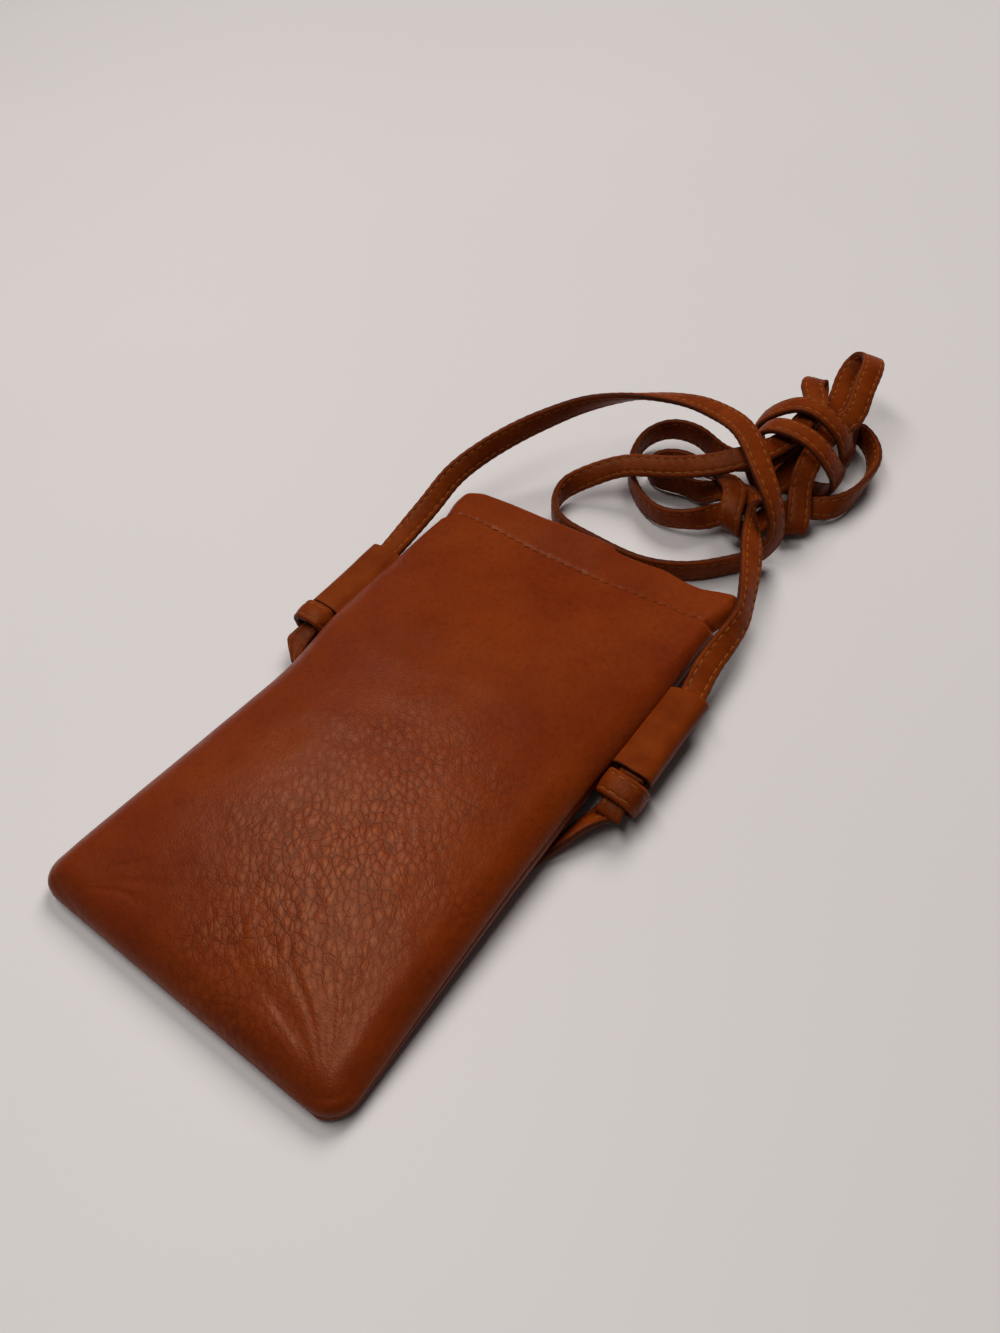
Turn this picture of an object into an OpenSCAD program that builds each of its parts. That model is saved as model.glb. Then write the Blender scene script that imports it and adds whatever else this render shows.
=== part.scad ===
// Phone pouch of soft leather with a squeeze-top mouth and a long flat strap, lying on its back.
// +X is to the pouch's right, +Y towards its mouth, +Z up from the table. Millimetres.

/* [Pouch] */
// Width of the pouch, side seam to side seam
pouch_w = 105; // [95:1:115]
// Length of the pouch, bottom edge to mouth
pouch_l = 185; // [170:1:200]
// Radius of the two round bottom corners
corner_r = 12; // [8:1:16]
// Height of the side seam above the table
seam_z = 9.5; // [8.5:0.5:11]
// How far the front stands above the seam just inside its edge
front_shoulder = 6; // [5:0.5:8]
// Further rise of the front from its shoulder to its middle
front_crown = 5; // [3:0.5:7]
// Width of the rounded edge of the front
front_roll = 7; // [5:0.5:9]
// Width of the rounded edge of the back, outside the face that it lies on
back_roll = 18; // [14:1:22]
// Thickness of the leather
leather_t = 1.4; // [1.2:0.1:1.6]
// Thickness of the lining
lining_t = 0.6; // [0.5:0.1:0.8]
// Gap between the leather and the lining
lining_gap = 0.3; // [0.3:0.05:0.4]

/* [Mouth] */
// Depth of the turned hem that holds the spring strips
hem_l = 15.5; // [15:0.5:18]
// Half of the closed mouth's thickness
mouth_half = 3.5; // [3.5:0.1:4]
// Length over which the body narrows to the mouth
mouth_taper = 50; // [35:1:60]
// Thickness of the outer ply of each hem, thinned where it is turned
hem_ply = 1.2; // [1:0.1:1.2]
// Half of the gap between the two closed hems
lip_gap = 0.2; // [0.15:0.05:0.3]
// Height of the slot inside each hem
slot_h = 0.8; // [0.7:0.05:0.8]

/* [Spring frame] */
// Width of the spring strips
strip_w = 10; // [8:0.5:10.5]
// Thickness of the spring strips
strip_t = 0.4; // [0.3:0.05:0.5]
// Distance between the two hinge pins
pin_span = 97; // [94:0.5:98]
// Diameter of the hinge pins
pin_d = 2; // [1.8:0.1:2.2]
// Running clearance between a pin and its knuckles
pin_gap = 0.1; // [0.05:0.05:0.15]
// Diameter of the pins' riveted heads
pin_head_d = 3; // [2.6:0.1:3.2]

/* [Strap] */
// Width of the strap
strap_w = 8; // [7.8:0.1:8.2]
// Thickness of the strap
strap_t = 2.5; // [2.3:0.1:2.6]
// Width of the slot in each sleeve
sleeve_slot_w = 9.1; // [8.8:0.1:9.4]
// Height of the slot in each sleeve
sleeve_slot_h = 3.3; // [3.1:0.1:3.5]
// Length of each sleeve
sleeve_l = 31; // [26:1:34]
// Distance of the sleeves' lower ends from the middle of the pouch
sleeve_y = 22.5; // [22:0.5:24]
// Height of the strap's centre in the sleeves
sleeve_z = 8.6; // [8.2:0.1:9]
// Length of each knot's outer turn along the strap
knot_l = 8.6; // [8:0.1:9]

/* [Seams] */
// Width of the turned-in seam allowance
allowance_w = 6; // [4:0.5:8]
// Thickness of the two plies of the seam allowance together, both thinned
allowance_t = 2; // [1.6:0.1:2.2]
// Diameter of the sewing thread
thread_d = 0.5; // [0.4:0.05:0.6]
// Length of one stitch from hole to hole
stitch_pitch = 3.4; // [2.8:0.1:4]
// Length of one stitch that shows
stitch_l = 2.5; // [2:0.1:2.6]

/* [Hidden] */
$fn = 48;
bottom_y = -pouch_l / 2;
mouth_y = pouch_l / 2;
hem_y = mouth_y - hem_l;
half_w = pouch_w / 2;

front_color = "#7A3A1E";
hem_color = "#74351A";
lining_color = "#8A6A4A";
strap_color = "#7C3E14";
edge_color = "#4A2410";
thread_color = "#B07A48";
steel_color = "#B8BCC0";

// The strap's route from the left knot to the right knot. Each row holds the centre of the
// strap and the direction of its width.
strap_route = [
    // Through the left sleeve
    [-58.4, 21.2, 8.6, 1, 0, 0],
    [-58.4, 32, 8.6, 1, 0, 0],
    [-58.4, 43, 8.6, 1, 0, 0],
    [-58.4, 54, 8.6, 1, 0, -0.04],
    // Over the mouth in a wide arc
    [-60, 67, 9.6, 0.9, 0, -0.4],
    [-60, 79, 12, 0.9, -0.1, -0.4],
    [-60, 92, 15, 0.9, -0.2, -0.3],
    [-56, 104, 18, 0.9, -0.3, -0.3],
    [-51, 117, 20, 0.9, -0.5, -0.2],
    [-44, 128, 22, 0.8, -0.6, -0.1],
    [-34, 140, 24, 0.4, -0.8, 0.5],
    [-20, 151, 25, 0.1, -0.6, 0.8],
    [-4, 156, 26, 0.1, -0.3, 0.9],
    [9, 154, 27.5, 0.4, 0.1, 0.9],
    [24, 146, 30, 0.6, 0.3, 0.7],
    // Down to the table and round the big loop
    [37, 135, 25, 0.7, 0.4, 0.6],
    [45, 129, 18, 0.6, 0.4, 0.7],
    [48, 125, 9.5, 0.3, 0.4, 0.9],
    [44, 118, 5, 0, 0, 1],
    [37, 110, 4.2, 0, 0, 1],
    [28, 102, 4.2, 0, 0, 1],
    [14, 97, 4.2, 0, 0, 1],
    [-6, 98, 4.2, 0, 0, 1],
    [-19, 100, 4.2, 0, 0, 1],
    [-26, 105, 5, 0, 0.1, 1],
    [-28, 114, 6, -0.2, 0.4, 0.9],
    [-23, 122, 8, -0.1, 0.6, 0.7],
    [-12, 130, 12, 0, 0.8, 0.6],
    [4, 133, 14, 0, 0.8, 0.6],
    [18, 136, 20.6, 0, 0.8, 0.6],
    // First pass through the wraps, short ear, second pass
    [28, 145, 22.2, -0.5, 0.7, 0.4],
    [33, 157, 21.2, -1, 0.2, 0.1],
    [34, 168, 21.7, -1, 0, 0],
    [34, 180, 22.2, -1, 0, 0],
    [27, 190, 22.5, -1, 0, 0],
    [27, 196, 20.5, -1, 0, 0],
    [29, 192, 18, -1, 0, 0],
    [33, 180, 17.5, -1, 0, 0],
    [33, 166, 17.5, -1, 0, 0],
    [31, 153, 16.6, -0.9, 0.4, 0.1],
    [21, 150, 13.6, -0.2, 0.8, 0.5],
    // Outer loop on the left
    [13, 153, 10.5, 0, 0.4, 0.9],
    [0, 160, 9.5, 0, 0.2, 1],
    [-12, 161, 7.5, 0, 0.1, 1],
    [-18, 154, 6, 0, 0, 1],
    [-17, 143, 5, 0, 0, 1],
    [-11, 132, 4.6, 0, 0, 1],
    [0, 123, 4.6, 0, 0, 1],
    [10, 120, 5.5, 0, 0, 1],
    [20, 123, 7, 0, 0, 1],
    [25, 130, 6, -0.65, 0.65, 0.2],
    // Third pass, big ear, fourth pass
    [31, 140, 7.4, -0.7, 0.7, 0],
    [36, 149, 9.3, -0.8, 0.3, 0.3],
    [37, 160, 10.5, -0.9, 0, 0.3],
    [37, 172, 11, -0.9, 0, 0.3],
    [35, 185, 11.5, -0.8, -0.1, 0.3],
    [35, 199, 13, -0.8, -0.2, 0.2],
    [33, 207, 15, -0.8, -0.2, 0.2],
    [33, 216, 18, -0.8, -0.2, 0.2],
    [38, 216, 21.5, -0.8, -0.2, 0.2],
    [42, 207, 24, -0.8, -0.2, 0.2],
    [44, 195, 22, -0.8, -0.2, 0.2],
    [46, 185, 18.5, -0.8, -0.1, 0.4],
    [42, 174, 16.5, -0.8, 0, 0.5],
    [43, 161, 17.5, -0.8, -0.3, 0.4],
    // Down the near face of the bundle and under it
    [44, 152, 16.5, -0.84, -0.5, 0.2],
    [44, 150, 12, -0.84, -0.57, 0.14],
    [47, 144, 9.3, -0.84, -0.57, 0.1],
    [50, 137, 4.2, -0.84, -0.57, 0],
    [45, 140, 1.8, -0.8, -0.6, 0],
    [34, 150, 1.6, -0.6, -0.8, 0],
    [26, 156, 4, -0.3, -0.9, 0],
    // First wrap
    [21, 158, 11, 0, -1, 0],
    [23, 159, 18.5, 0, -1, 0],
    [27, 159, 25, 0, -1, 0],
    [36, 159, 26, 0, -1, 0],
    [44, 158, 24.5, 0, -1, 0],
    [50, 158, 19, 0, -1, 0],
    [53, 160, 11.4, 0, -1, 0],
    [50, 161, 4, 0, -1, 0],
    [40, 162, 1.8, 0, -1, 0],
    [29, 165, 2, 0, -1, 0],
    // Second wrap
    [21, 167, 7, 0, -1, 0],
    [18, 168, 15, 0.1, -1, 0],
    [23, 170, 22, 0.2, -1, 0],
    [31, 173, 26, 0.2, -1, 0],
    [39, 173, 25.3, 0.1, -1, 0],
    [48, 173, 18.4, 0, -1, 0],
    [50, 173, 10, 0, -0.9, -0.4],
    // Low loop on the right and back under
    [49, 180, 6, 0, -0.5, -0.9],
    [46, 187, 5.5, 0, -0.1, -1],
    [45, 195, 5.5, -0.2, -0.2, -0.9],
    [53, 189, 5.5, -0.4, -0.1, -0.9],
    [58, 180, 5.5, -0.4, 0, -0.9],
    [59, 170, 5.5, -0.3, 0, -0.9],
    [58, 159, 5.2, 0, 0, -1],
    [54, 152, 5, 0.4, -0.4, -0.8],
    [46, 147, 5.4, 0.6, -0.8, 0],
    [39, 140, 4.9, 0.6, -0.8, 0],
    [37, 132, 4.1, 0.8, -0.6, 0],
    // Turn at the near end
    [34, 125, 5.5, 0.9, -0.4, 0],
    [33, 122, 9.8, 1, -0.2, 0],
    [30, 125, 15.8, 0.9, 0.2, 0],
    [29, 133, 17.3, 0.9, 0.4, 0],
    [22, 139, 15.4, 0.5, 0.8, -0.2],
    // Inner loop on the left
    [12, 147, 7, 0, 0.3, -0.9],
    [0, 151, 5, 0, 0, -1],
    [-8, 147, 5, 0, 0, -1],
    [-9, 140, 5, 0, 0, -1],
    [-3, 137, 4.6, 0, 0, -1],
    [7, 139, 4.6, 0, 0, -1],
    [13, 138, 4.6, 0, -0.2, -0.9],
    [22, 137, 10, 0.2, -0.9, -0.1],
    [31, 137, 12.6, 0.4, -0.9, 0],
    // Out of the bundle and back to the right sleeve
    [37, 130, 12, 0.5, -0.8, -0.2],
    [44, 116, 14.8, 0.8, -0.4, -0.3],
    [50, 104, 14, 0.8, 0, -0.6],
    [54, 94, 13, 0.5, 0.1, -0.8],
    [57, 87, 12, 0.3, 0.1, -0.95],
    [58, 77, 11, 0.5, 0.1, -0.9],
    [57.6, 65, 9.8, 0.8, 0.1, -0.6],
    [58.4, 54, 8.6, 1, 0, -0.04],
    [58.4, 43, 8.6, 1, 0, 0],
    [58.4, 32, 8.6, 1, 0, 0],
    [58.4, 21.2, 8.6, 1, 0, 0]
];
// Rows of the route at which the bundle begins and ends
bundle_first = 15;
bundle_last = 115;
// Rings of the swept strap for each row of the route
rings_per_row = 2;
// Stretch of strap on either side of a ring that is no neighbour of it
neighbour_l = 12;

// Tail below the left knot, cut off square
left_tail_route = [
    [-58.4, 12.4, 6.6, 1, 0, 0],
    [-58.4, 11.6, 6.6, 1, 0, 0],
    [-58.4, 10.8, 6.5, 1, 0, 0],
    [-58, 8.6, 5.7, 1, 0.1, -0.1],
    [-56.8, 5.6, 4.4, 0.95, 0.3, -0.1],
    [-55.4, 2.8, 3.4, 0.9, 0.4, -0.1]
];
// Tail below the right knot, which runs in under the pouch's edge
right_tail_route = [
    [58.4, 12.4, 4.4, 1, 0, 0],
    [58.4, 11.6, 4.4, 1, 0, 0],
    [58.4, 10.8, 4.3, 1, 0, 0],
    [57, 7.6, 3, 1, 0.1, 0.1],
    [54.6, 2, 2.2, 0.96, 0.2, 0.08],
    [52.6, -5, 1.8, 0.97, 0.2, 0.05],
    [51.4, -12.5, 1.7, 0.98, 0.15, 0.04]
];
// The right tail's tip is cut at a slant: how far back across the strap, and over what length
tip_cut_w = 6.4;
tip_cut_l = 19;

// Quarter round of an edge: 0 at the outline, 1 from the distance r inwards
function edge_round(d, r) = d >= r ? 1 : d <= 0 ? 0 : sqrt(1 - pow(1 - d / r, 2));

// Smooth step from 0 to 1
function smooth(t) = t <= 0 ? 0 : t >= 1 ? 1 : t * t * (3 - 2 * t);

function mix(a, b, t) = a + (b - a) * t;

// Half width of the pouch's outline at y, drawn in by e
function outline_half(y, e) =
    let (r = corner_r - e, b = max(0, y - bottom_y - e))
    half_w - e - (b >= r ? 0 : r - sqrt(r * r - pow(r - b, 2)));

// How far the body has narrowed to the mouth at y
function to_mouth(y) = smooth((y - (hem_y - mouth_taper)) / mouth_taper);

// Height of the front above the seam, away from its edge
function front_height(x, y) =
    mix(front_shoulder + front_crown * (1 - pow(x / half_w, 2)) * smooth((y - bottom_y) / corner_r / 3),
        mouth_half, to_mouth(y));

// Depth of the back below the seam, away from its edge
function back_height(x, y) = mix(seam_z, mouth_half, to_mouth(y));

// Point of a skin at u across and v along, for side 1, the front, or -1, the back. A face lists
// how far it is drawn in from the outline, how far it is lowered, and the width of its edge.
function skin_point(u, v, face, y_end, side) =
    let (y = mix(bottom_y + face[0], y_end, v),
         hw = outline_half(y, face[0]),
         x = u * hw,
         roll = mix(face[2], mouth_half - face[1], to_mouth(y)),
         h = (side > 0 ? front_height(x, y) : back_height(x, y)) - face[1],
         rise = h * edge_round(hw - abs(x), roll) * edge_round(y - bottom_y - face[0], face[2]))
    [x, y, seam_z + side * rise];

// A closed skin between an outer and an inner face
skin_across = 24;
skin_along = 18;
module skin(outer_face, inner_face, y_end, side) {
    nu = skin_across;
    nv = skin_along;
    across = [for (i = [0 : nu]) sin(90 * (2 * i / nu - 1))];
    along = [for (j = [0 : nv]) 1 - cos(90 * j / nv)];
    count = (nu + 1) * (nv + 1);
    points = concat(
        [for (v = along, u = across) skin_point(u, v, outer_face, y_end, side)],
        [for (v = along, u = across) skin_point(u, v, inner_face, y_end, side)]);
    function at(i, j) = j * (nu + 1) + i;
    outer = [for (j = [0 : nv - 1], i = [0 : nu - 1], k = [0, 1])
        k == 0 ? [at(i, j), at(i + 1, j + 1), at(i + 1, j)] : [at(i, j), at(i, j + 1), at(i + 1, j + 1)]];
    inner = [for (f = outer) [f[0] + count, f[2] + count, f[1] + count]];
    rim = concat(
        [for (i = [0 : nu - 1]) [at(i, 0), at(i + 1, 0)]],
        [for (j = [0 : nv - 1]) [at(nu, j), at(nu, j + 1)]],
        [for (i = [0 : nu - 1]) [at(nu - i, nv), at(nu - i - 1, nv)]],
        [for (j = [0 : nv - 1]) [at(0, nv - j), at(0, nv - j - 1)]]);
    wall = [for (s = rim, k = [0, 1])
        k == 0 ? [s[0], s[1], s[1] + count] : [s[0], s[1] + count, s[0] + count]];
    faces = concat(outer, inner, wall);
    polyhedron(points, side > 0 ? faces : [for (f = faces) [f[0], f[2], f[1]]]);
}

// Flat shape with two round ends, w wide and h high
module stadium(w, h) {
    square([w - h, h], center = true);
    for (s = [-1, 1]) translate([s * (w - h) / 2, 0]) circle(d = h);
}

// Outline of the pouch up to y_end, drawn in by e
module outline(e, y_end) {
    r = corner_r - e;
    w = half_w - e;
    b = bottom_y + e;
    translate([-w, b + r]) square([2 * w, y_end - b - r]);
    translate([-(w - r), b]) square([2 * (w - r), r + 1]);
    for (s = [-1, 1]) translate([s * (w - r), b + r]) circle(r);
}

// Extrudes a shape drawn in x and z along y, from y0 to y1
module along_y(y0, y1) {
    translate([0, y1, 0]) rotate([90, 0, 0]) linear_extrude(y1 - y0) children();
}

// Extrudes a shape drawn in y and z along x, over the width w
module along_x(w) {
    translate([-w / 2, 0, 0]) rotate([90, 0, 90]) linear_extrude(w) children();
}

// Row of count stitches along x, centred at x = 0
module stitch_row(count, y, z) {
    for (i = [0 : count - 1])
        translate([(i - (count - 1) / 2) * stitch_pitch, y, z])
            rotate([0, 90, 0]) cylinder(d = thread_d, h = stitch_l, center = true, $fn = 16);
}

// Slots in the side seams that hold the sleeves' tongues
tongue_t = 1.2;
tongue_l = 3.5;
tongue_room = 0.5;
tongue_gap = 0.05;
module tongue_slots() {
    depth = tongue_l + tongue_room;
    for (s = [-1, 1])
        translate([s * (half_w - depth / 2), sleeve_y + sleeve_l / 2, seam_z])
            cube([depth + 2 * tongue_gap, sleeve_l + 2 * tongue_gap, tongue_t + 2 * tongue_gap],
                center = true);
}

module panel(roll, side) {
    difference() {
        skin([0, 0, roll], [leather_t, leather_t, roll - leather_t], hem_y, side);
        tongue_slots();
    }
}

module front_panel() {
    color(front_color) panel(front_roll, 1);
}

module back_panel() {
    color(front_color) panel(back_roll, -1);
}

// The lining is a smaller bag inside the seam allowance
allowance_gap = 0.5;
lining_in = leather_t + allowance_gap + allowance_w + lining_gap;
lining_down = leather_t + lining_gap;
lining_end = hem_y - 0.5;
lining_front_roll = front_roll - 3;
module lining(roll, side) {
    skin([lining_in, lining_down, roll], [lining_in + lining_t, lining_down + lining_t, roll - lining_t],
        lining_end, side);
}

module front_lining() {
    color(lining_color) lining(lining_front_roll, 1);
}

module back_lining() {
    color(lining_color) lining(back_roll - lining_in, -1);
}

// The turned edges of both panels, sewn together inside the pouch
module seam_allowance() {
    e = leather_t + allowance_gap;
    end_y = hem_y - 1;
    color(edge_color) difference() {
        translate([0, 0, seam_z - allowance_t / 2]) linear_extrude(allowance_t) difference() {
            outline(e, end_y);
            outline(e + allowance_w, end_y + 1);
        }
        tongue_slots();
    }
}

// Stitches along the inside of the side seams and the bottom seam
seam_pitch = 5;
seam_end = 4;
module seam_thread() {
    x = half_w - leather_t - allowance_gap - allowance_w / 2;
    z = seam_z + allowance_t / 2 + thread_d / 2;
    y0 = bottom_y + corner_r + seam_end / 2;
    side_count = floor((hem_y - seam_end - y0) / seam_pitch);
    bottom_count = floor((pouch_w - 2 * corner_r - seam_end) / seam_pitch);
    color(thread_color) {
        for (s = [-1, 1], i = [0 : side_count - 1])
            translate([s * x, y0 + (i + 0.5) * seam_pitch, z])
                rotate([90, 0, 0]) cylinder(d = thread_d, h = stitch_l, center = true, $fn = 16);
        for (i = [0 : bottom_count - 1])
            translate([(i - (bottom_count - 1) / 2) * seam_pitch, bottom_y + half_w - x, z])
                rotate([0, 90, 0]) cylinder(d = thread_d, h = stitch_l, center = true, $fn = 16);
    }
}

// Casing that the turned hem makes. It is drawn for the front and mirrored for the back.
slot_margin = 0.95;
hem_gap = 0.3;
fold_gap = 0.05;
hinge_room_l = 7.2;
strip_mid_y = (hem_y + mouth_y) / 2;
slot_z = mouth_half - hem_ply - slot_h / 2;
frame_room_x = pin_span / 2 - 5;
module casing() {
    slot_y0 = strip_mid_y - strip_w / 2 - slot_margin;
    slot_y1 = strip_mid_y + strip_w / 2 + slot_margin;
    fold_r = (mouth_half - lip_gap) / 2 - fold_gap;
    hem_y0 = hem_y + hem_gap;
    slot_top = slot_z + slot_h / 2;
    difference() {
        intersection() {
            along_y(hem_y0, mouth_y) stadium(pouch_w, 2 * mouth_half);
            along_x(pouch_w) union() {
                translate([hem_y0, lip_gap])
                    square([mouth_y - fold_r - hem_y0, mouth_half - lip_gap]);
                for (z = [lip_gap + fold_r, mouth_half - fold_r])
                    translate([mouth_y - fold_r, z]) circle(fold_r);
                translate([mouth_y - fold_r, lip_gap + fold_r])
                    square([fold_r, mouth_half - lip_gap - 2 * fold_r]);
            }
        }
        // Slot for the spring strip
        along_x(2 * frame_room_x + 2)
            translate([slot_y0, slot_z - slot_h / 2]) square([slot_y1 - slot_y0, slot_h]);
        // Room for the hinge at each end
        for (s = [-1, 1])
            translate([s * (frame_room_x + hinge_room_l / 2), strip_mid_y, slot_top / 2 - 0.5])
                cube([hinge_room_l, strip_w + 2 * slot_margin, slot_top + 1], center = true);
    }
}

module front_casing() {
    color(hem_color) translate([0, 0, seam_z]) casing();
}

module back_casing() {
    color(hem_color) translate([0, 0, seam_z]) mirror([0, 0, 1]) casing();
}

// The stitch row starts and ends this far from the pouch's sides, and lies this far up the hem
hem_stitch_end = 5;
hem_stitch_up = 1.2;
hem_stitch_count = floor((pouch_w - 2 * hem_stitch_end) / stitch_pitch);
hem_stitch_y = hem_y + hem_stitch_up;
module front_hem_stitches() {
    color(thread_color) stitch_row(hem_stitch_count, hem_stitch_y, seam_z + mouth_half + thread_d / 2);
}

module back_hem_stitches() {
    color(thread_color) stitch_row(hem_stitch_count, hem_stitch_y, seam_z - mouth_half - thread_d / 2);
}

// Spring strip with a rolled knuckle at each end. knuckles lists the ranges of y, measured
// from the strip's middle, in which the ends are rolled.
knuckle_in = pin_d / 2 + pin_gap;
knuckle_out = knuckle_in + strip_t;
strip_end_x = pin_span / 2 - knuckle_out - 0.6;
module strip(knuckles) {
    bend_x = frame_room_x - 0.5;
    top = slot_z + strip_t / 2;
    drop = (top - knuckle_out) * (strip_end_x - bend_x) / (pin_span / 2 - bend_x);
    translate([0, 0, seam_z]) {
        along_y(strip_mid_y - strip_w / 2, strip_mid_y + strip_w / 2)
            polygon([
                [-strip_end_x, top - drop - strip_t], [-bend_x, top - strip_t],
                [bend_x, top - strip_t], [strip_end_x, top - drop - strip_t],
                [strip_end_x, top - drop], [bend_x, top], [-bend_x, top], [-strip_end_x, top - drop]]);
        for (k = knuckles, s = [-1, 1])
            along_y(strip_mid_y + k[0], strip_mid_y + k[1])
                difference() {
                    union() {
                        translate([s * pin_span / 2, 0]) circle(knuckle_out);
                        polygon([
                            [s * (strip_end_x - 0.01), top - drop], [s * pin_span / 2, knuckle_out],
                            [s * pin_span / 2, knuckle_out - strip_t],
                            [s * (strip_end_x - 0.01), top - drop - strip_t]]);
                    }
                    translate([s * pin_span / 2, 0]) circle(knuckle_in);
                }
    }
}

knuckle_gap = 0.1;
knuckle_l = strip_w / 3;
module front_strip() {
    color(steel_color) strip([[-knuckle_l / 2 + knuckle_gap, knuckle_l / 2 - knuckle_gap]]);
}

module back_strip() {
    color(steel_color) translate([0, 0, 2 * seam_z]) mirror([0, 0, 1])
        strip([[-strip_w / 2, -knuckle_l / 2 - knuckle_gap], [knuckle_l / 2 + knuckle_gap, strip_w / 2]]);
}

// Riveted hinge pin at x, along y
head_t = 0.5;
module pin(x) {
    translate([x, strip_mid_y, seam_z]) rotate([90, 0, 0]) {
        cylinder(d = pin_d, h = strip_w + 2 * pin_gap, center = true);
        for (s = [-1, 1])
            translate([0, 0, s * (strip_w / 2 + pin_gap + head_t / 2)])
                cylinder(d = pin_head_d, h = head_t, center = true);
    }
}

module left_pin() {
    color(steel_color) pin(-pin_span / 2);
}

module right_pin() {
    color(steel_color) pin(pin_span / 2);
}

// Leather tab rolled round the strap, its two plies sewn into the side seam
sleeve_x = 58.4;
sleeve_out_w = 2 * (sleeve_x - half_w - tongue_gap);
sleeve_out_h = sleeve_slot_h + 2 * leather_t;
module sleeve(side) {
    tongue_x = half_w - tongue_l;
    difference() {
        union() {
            along_y(sleeve_y, sleeve_y + sleeve_l)
                translate([side * sleeve_x, sleeve_z]) stadium(sleeve_out_w, sleeve_out_h);
            translate([side * (tongue_x + sleeve_x) / 2, sleeve_y + sleeve_l / 2, seam_z])
                cube([sleeve_x - tongue_x, sleeve_l, tongue_t], center = true);
        }
        along_y(sleeve_y - 1, sleeve_y + sleeve_l + 1)
            translate([side * sleeve_x, sleeve_z]) stadium(sleeve_slot_w, sleeve_slot_h);
    }
}

module left_sleeve() {
    color(strap_color) sleeve(-1);
}

module right_sleeve() {
    color(strap_color) sleeve(1);
}

// Point of a smooth curve through the rows a, b, c, d, at t between b and c
function curve(a, b, c, d, t) =
    (2 * b + (c - a) * t + (2 * a - 5 * b + 4 * c - d) * t * t + (3 * b - a - 3 * c + d) * t * t * t) / 2;

// Rows of a route made finer, n steps to each row
function finer(rows, n) =
    let (last = len(rows) - 1)
    concat([for (i = [0 : last - 1], k = [0 : n - 1])
        curve(i > 0 ? rows[i - 1] : 2 * rows[0] - rows[1], rows[i], rows[i + 1],
            i + 2 <= last ? rows[i + 2] : 2 * rows[last] - rows[last - 1], k / n)],
        [rows[last]]);

function unit(v) = v / norm(v);
function centre_of(row) = [row[0], row[1], row[2]];
function width_of(row) = [row[3], row[4], row[5]];

// Centre, width direction and thickness direction of the strap at each fine row
function strap_frames(fine) =
    let (last = len(fine) - 1)
    [for (i = [0 : last])
        let (c = centre_of(fine[i]),
             t = unit(centre_of(fine[min(i + 1, last)]) - centre_of(fine[max(i - 1, 0)])),
             w = width_of(fine[i]),
             across = unit(w - (w * t) * t))
        [c, across, cross(t, across)]];

// Six-sided ring of the strap: flat faces and a ridge along each edge. c is cut off one edge.
ridge = 0.6;
function strap_ring(f, c) = [for (p = [
        [strap_w / 2 - c, 0], [strap_w / 2 - c - ridge, strap_t / 2], [ridge - strap_w / 2, strap_t / 2],
        [-strap_w / 2, 0], [ridge - strap_w / 2, -strap_t / 2], [strap_w / 2 - c - ridge, -strap_t / 2]])
    f[0] + p[0] * f[1] + p[1] * f[2]];

// How much is cut off a ring that far from the tip, where the slanting cut is cut_l long
function cut_at(distance, cut_l) = cut_l > 0 ? tip_cut_w * max(0, 1 - distance / cut_l) : 0;

// Strap swept along the frames first to last, its last end cut at a slant over cut_l
module strap(frames, first, last, cut_l = 0) {
    n = 6;
    count = last - first + 1;
    tip = frames[last][0];
    points = [for (i = [first : last]) each strap_ring(frames[i], cut_at(norm(frames[i][0] - tip), cut_l))];
    sides = [for (i = [0 : count - 2], k = [0 : n - 1], h = [0, 1])
        let (a = i * n + k, b = i * n + (k + 1) % n)
        h == 0 ? [a, b, b + n] : [a, b + n, a + n]];
    ends = [for (k = [1 : n - 2], h = [0, 1])
        h == 0 ? [0, k + 1, k] : [(count - 1) * n, (count - 1) * n + k, (count - 1) * n + k + 1]];
    polyhedron(points, concat(sides, ends));
}

strap_all = strap_frames(finer(strap_route, rings_per_row));
cut_1 = bundle_first * rings_per_row;
cut_2 = bundle_last * rings_per_row;

module strap_left_run() {
    color(strap_color) strap(strap_all, 0, cut_1);
}

module strap_right_run() {
    color(strap_color) strap(strap_all, cut_2, len(strap_all) - 1);
}

// Gap between the strap's sections f and g, measured along one direction
function reach(f, dir) = strap_w / 2 * abs(f[1] * dir) + strap_t / 2 * abs(f[2] * dir);
function gap_along(f, g, dir) = abs((g[0] - f[0]) * dir) - reach(f, dir) - reach(g, dir);
function gap_between(f, g) =
    max([for (dir = [unit(g[0] - f[0]), f[1], f[2], g[1], g[2]]) gap_along(f, g, dir)]);

function lengths_to(frames, i = 0, sum = 0, out = []) =
    i == len(frames) ? out
    : lengths_to(frames, i + 1, sum + (i + 1 < len(frames) ? norm(frames[i + 1][0] - frames[i][0]) : 0),
        concat(out, [sum]));

module strap_bundle() {
    at = lengths_to(strap_all);
    gaps = [for (i = [0 : len(strap_all) - 2], j = [i + 1 : len(strap_all) - 1])
        if (at[j] - at[i] > neighbour_l && norm(strap_all[j][0] - strap_all[i][0]) < strap_w + strap_t)
            [gap_between(strap_all[i], strap_all[j]), i / rings_per_row, j / rings_per_row]];
    least = min([for (g = gaps) g[0]]);
    echo(strap_length = at[len(at) - 1], least_gap = least,
        where = [for (g = gaps) if (g[0] < 0.4) g]);
    color(strap_color) strap(strap_all, cut_1, cut_2);
}

// Overhand knot: one outer turn of the strap round its two inner plies
knot_x = 58.9;
knot_w = 12;
knot_y0 = 12.6;
knot_z = 7.6;
knot_h = 9.2;
module knot(side) {
    along_y(knot_y0, knot_y0 + knot_l)
        translate([side * knot_x, knot_z]) stadium(knot_w, knot_h);
}

module left_knot() {
    color(strap_color) knot(-1);
}

module right_knot() {
    color(strap_color) knot(1);
}

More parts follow.
